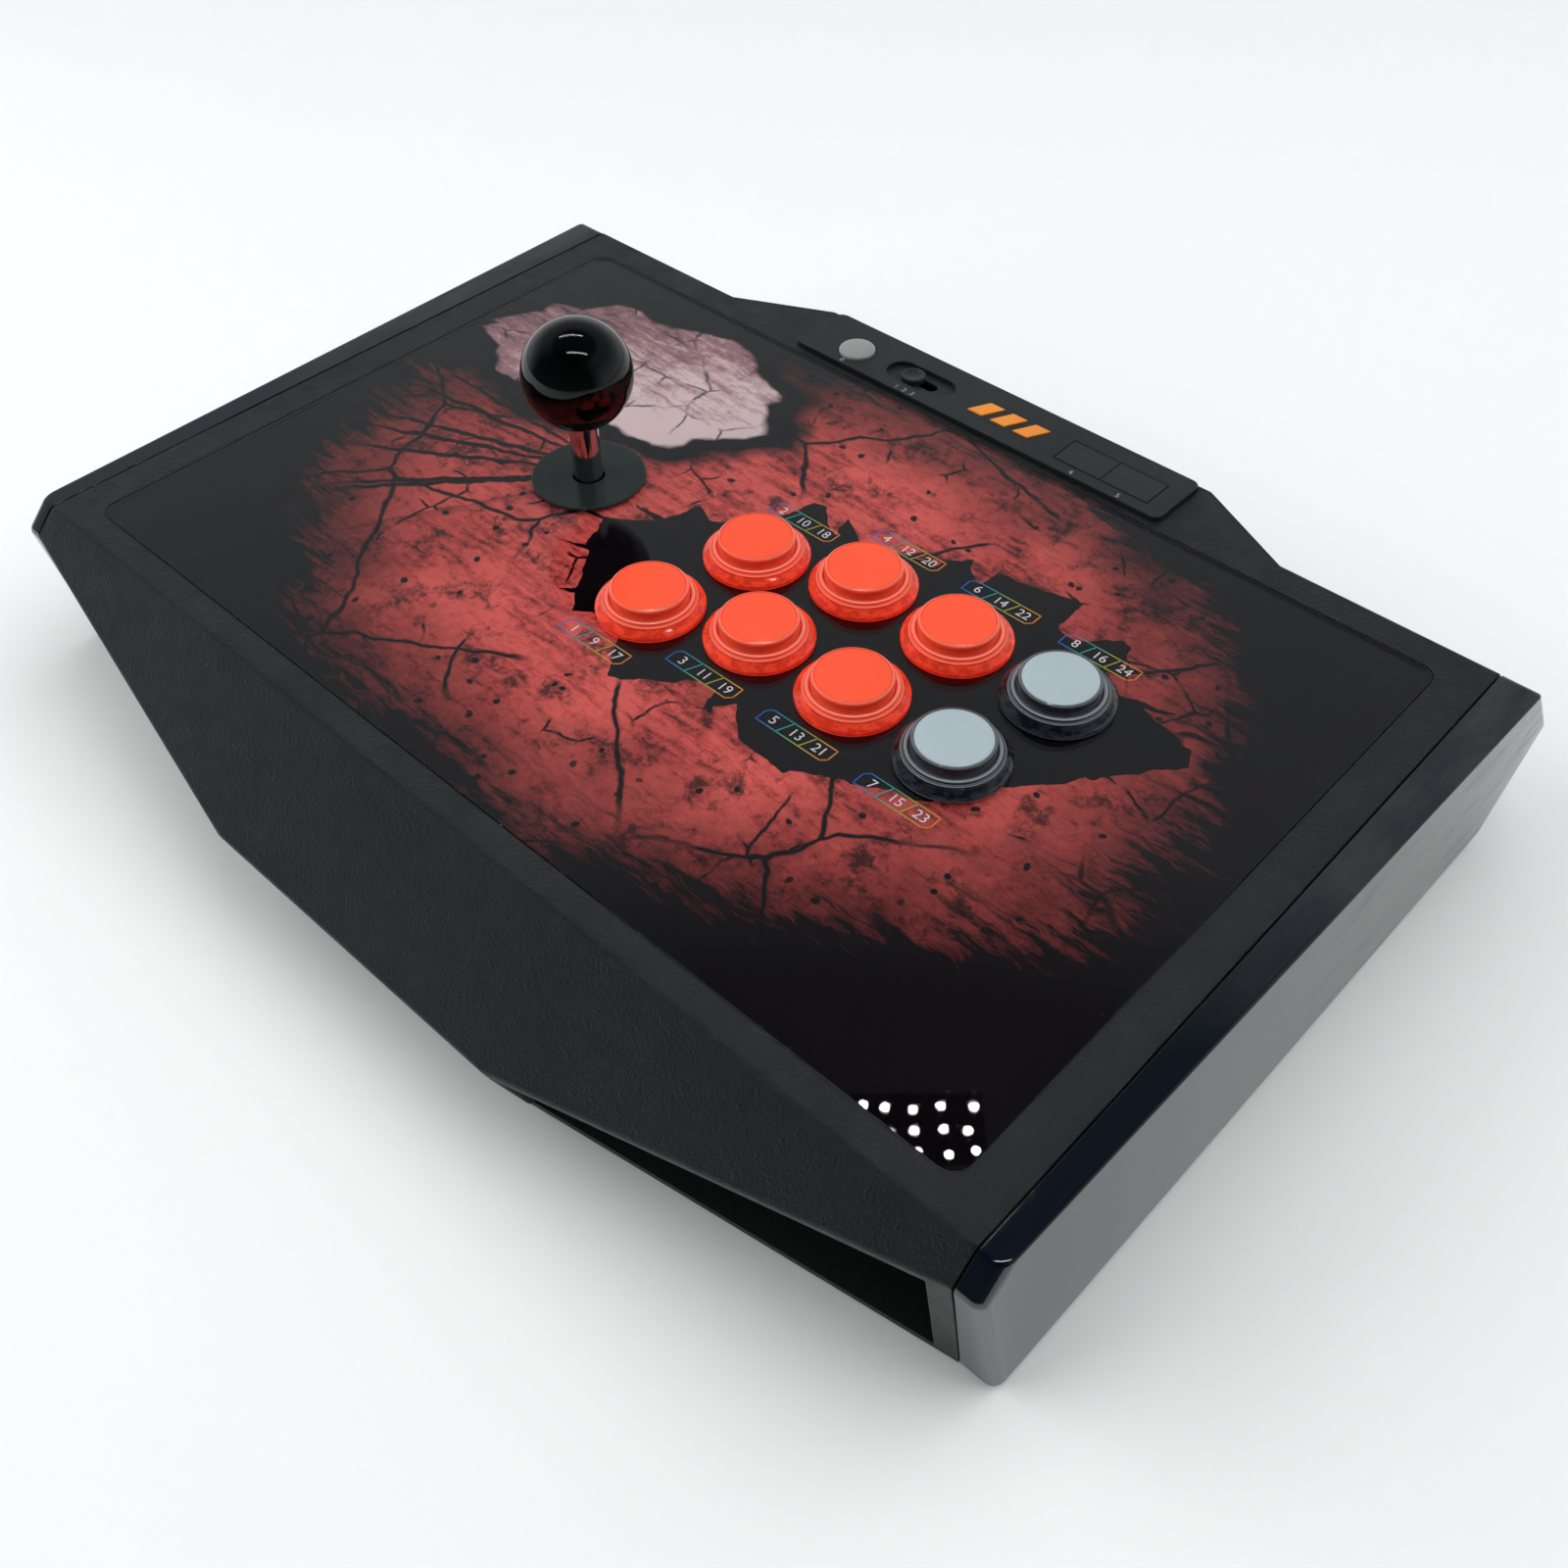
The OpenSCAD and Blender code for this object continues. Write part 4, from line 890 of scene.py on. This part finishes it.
washerSatin = plastic("washerSatin", leverLook["washerBlack"], leverLook["washerRough"], uneven=0.2)
finishPiece(washer, "washer", "washer_black", washerSatin, "dust_washer")
print("lever ready")


# Console strip with its controls
stripLook = {"colour": (0.0095, 0.0115, 0.0120), "rough": 0.40, "holeRound": 0.2}
strip = copyNode("console_strip", "consoleStrip")
stripTop = stripHigh.z


def stripEdge(edge):
    return middle(edge).z > stripTop - 0.01 and convex(edge)


bevelEdges(strip, stripEdge, stripLook["holeRound"], 2)
smoothShade(strip)
stripBlack = plastic("stripBlack", stripLook["colour"], stripLook["rough"], 0.2, 0.5)
finishPiece(strip, "case", "strip_black", stripBlack, "console_strip")

emblem = copyNode("console_emblem", "consoleEmblem")
bevelEdges(emblem, lambda edge: middle(edge).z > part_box("console_emblem")[1].z / mm - 0.01, 0.15, 2)
smoothShade(emblem)
finishPiece(emblem, "case", "emblem_orange", plastic("emblemOrange", (0.72, 0.24, 0.03), 0.35, uneven=0.08),
            "console_emblem")

homeLow, homeHigh = [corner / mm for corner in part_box("home_button")]
homeAt = (homeLow + homeHigh) / 2
homeR, homeRise = 6.5, 1.65
skirtR, skirtLow, skirtHigh = homeR + 0.9, stripTop - 4.5, stripTop - 3.7
homeRings = ([(1.5, homeLow.z), (1.5, skirtLow), (skirtR, skirtLow), (skirtR, skirtHigh),
              (homeR, skirtHigh), (homeR, stripTop + 0.3)]
             + [(homeR * math.cos(turn), stripTop + 0.3 + homeRise * math.sin(turn))
                for turn in map(math.radians, (8, 18, 30, 42, 54, 66, 78, 88))])
homeDome = turnedPiece("homeDome", homeAt, homeRings, 64)
smoothShade(homeDome, 50)
frosted = plastic("frostedSilver", (0.25, 0.265, 0.255), 0.32, 0.1, 0.3, 0.08)
finishPiece(homeDome, "home_key", "key_silver", frosted, "home_button")

keyBlack = plastic("keyBlack", (0.0135, 0.014, 0.015), 0.4, 0.2, 0.5)
for key in ("turbo", "macro"):
    nodeName = key + "_button"
    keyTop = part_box(nodeName)[1].z / mm
    cap = copyNode(nodeName, key + "Key")
    bevelEdges(cap, lambda edge: middle(edge).z > keyTop - 1.9 and convex(edge, 50), 0.3, 3)
    smoothShade(cap)
    finishPiece(cap, key + "_key", "key_black", keyBlack, nodeName)

modeLow, modeHigh = [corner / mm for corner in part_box("mode_selector")]
modeAt = (modeLow + modeHigh) / 2
knobBase, knobTop = stripTop - 1.45, modeHigh.z
knobRings = ([(2.0, modeLow.z), (2.0, knobBase), (4.3, knobBase), (4.3, knobTop - 0.5)]
             + arc(3.8, knobTop - 0.5, 0.5, 0, 90, 4)[1:]
             + [(3.2, knobTop - 0.05), (2.6, knobTop - 0.35), (0.3, knobTop - 0.5)])
modeKnob = turnedPiece("modeKnob", modeAt, knobRings, 48)
smoothShade(modeKnob, 40)
finishPiece(modeKnob, "mode_slider", "key_black", keyBlack, "mode_selector")

legendLook = {"size": 3.0, "z": stripTop + 0.012, "y": 117.9, "modes": (-31.2, -27.8, -24.4),
              "keyLine": 51.6, "keyStep": 9.15}
legends = []
keyPlaces = (legendLook["keyLine"] - legendLook["keyStep"], legendLook["keyLine"] + legendLook["keyStep"])
for words, x in zip("012345", (homeAt.x, *legendLook["modes"], *keyPlaces)):
    legends.append(flatText("legend", words, legendLook["size"], (x, legendLook["y"], legendLook["z"])))
legendSet = joinPieces(legends, "consoleNumerals")
legendInk = plastic("legendInk", (0.34, 0.35, 0.36), 0.5, uneven=0.05)
finishPiece(legendSet, "case", "strip_black", legendInk)
print("console ready")


# Feet, and finishes for the CAD parts that stay
feetLook = {"sides": 48, "places": ((150, 104), (150, -98), (48, -118))}
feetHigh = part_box("rubber_feet")[1].z / mm
footRings = [(7.2, 0.0), (7.6, 0.1), (7.9, 0.4), (8.0, 0.8), (8.0, feetHigh)]
feet = []
for x, y in feetLook["places"]:
    for sign in (-1, 1):
        feet.append(turnedPiece("foot", (sign * x, y), footRings, feetLook["sides"]))
feetSet = joinPieces(feet, "rubberFeet")
smoothShade(feetSet, 40)
footRubber = plastic("footRubber", (0.016, 0.016, 0.016), 0.8, 0.4, 0.4)
finishPiece(feetSet, "case", "foot_rubber", footRubber, "rubber_feet")

socketBlack = plastic("socketBlack", (0.014, 0.014, 0.015), 0.4, 0.15, 0.4)
steel = metal("platedSteel", (0.55, 0.55, 0.53), 0.3)
springSteel = metal("springSteel", (0.42, 0.42, 0.43), 0.25)
boardGreen = plastic("boardGreen", (0.008, 0.085, 0.03), 0.35, uneven=0.2)
ivory = plastic("housingIvory", (0.72, 0.69, 0.60), 0.45, 0.15, 0.6)
nylon = plastic("darkNylon", (0.03, 0.03, 0.034), 0.5, 0.2, 0.6)
whiteNylon = plastic("whiteNylon", (0.66, 0.66, 0.62), 0.4, 0.1, 0.6)
switchBlack = plastic("switchBlack", (0.02, 0.02, 0.022), 0.5, 0.15, 0.4)
cadFinishes = {
    "bottom_cover": plastic("baseBlack", (0.012, 0.0125, 0.0135), 0.55, 0.5, 1.1),
    "console_board": boardGreen, "main_board": boardGreen, "lever_switch_board": boardGreen,
    "audio_jack": socketBlack,
    "cable_grommet": plastic("grommetRubber", (0.012, 0.012, 0.012), 0.75, 0.3, 0.5),
    "bottom_screws": metal("darkSteel", (0.2, 0.2, 0.21), 0.35), "internal_screws": steel,
    "lever_e_ring": springSteel, "lever_pivot_ball": whiteNylon, "lever_pivot_race": nylon,
    "lever_spring": springSteel, "lever_spring_seat": nylon,
    "lever_actuator": plastic("actuatorRed", (0.55, 0.03, 0.02), 0.4, 0.1, 0.5),
    "lever_housing": ivory, "lever_mount_plate": steel,
    "lever_gate": plastic("gateTint", (0.62, 0.62, 0.2), 0.25),
    "lever_microswitches": switchBlack, "lower_dust_washer": washerSatin,
    "button_microswitches": switchBlack,
    "button_led_boards": plastic("ledBoardWhite", (0.75, 0.75, 0.72), 0.45),
}
for nodeName, material in cadFinishes.items():
    nodes[nodeName].data.materials.clear()
    nodes[nodeName].data.materials.append(material)
print("finishes ready")
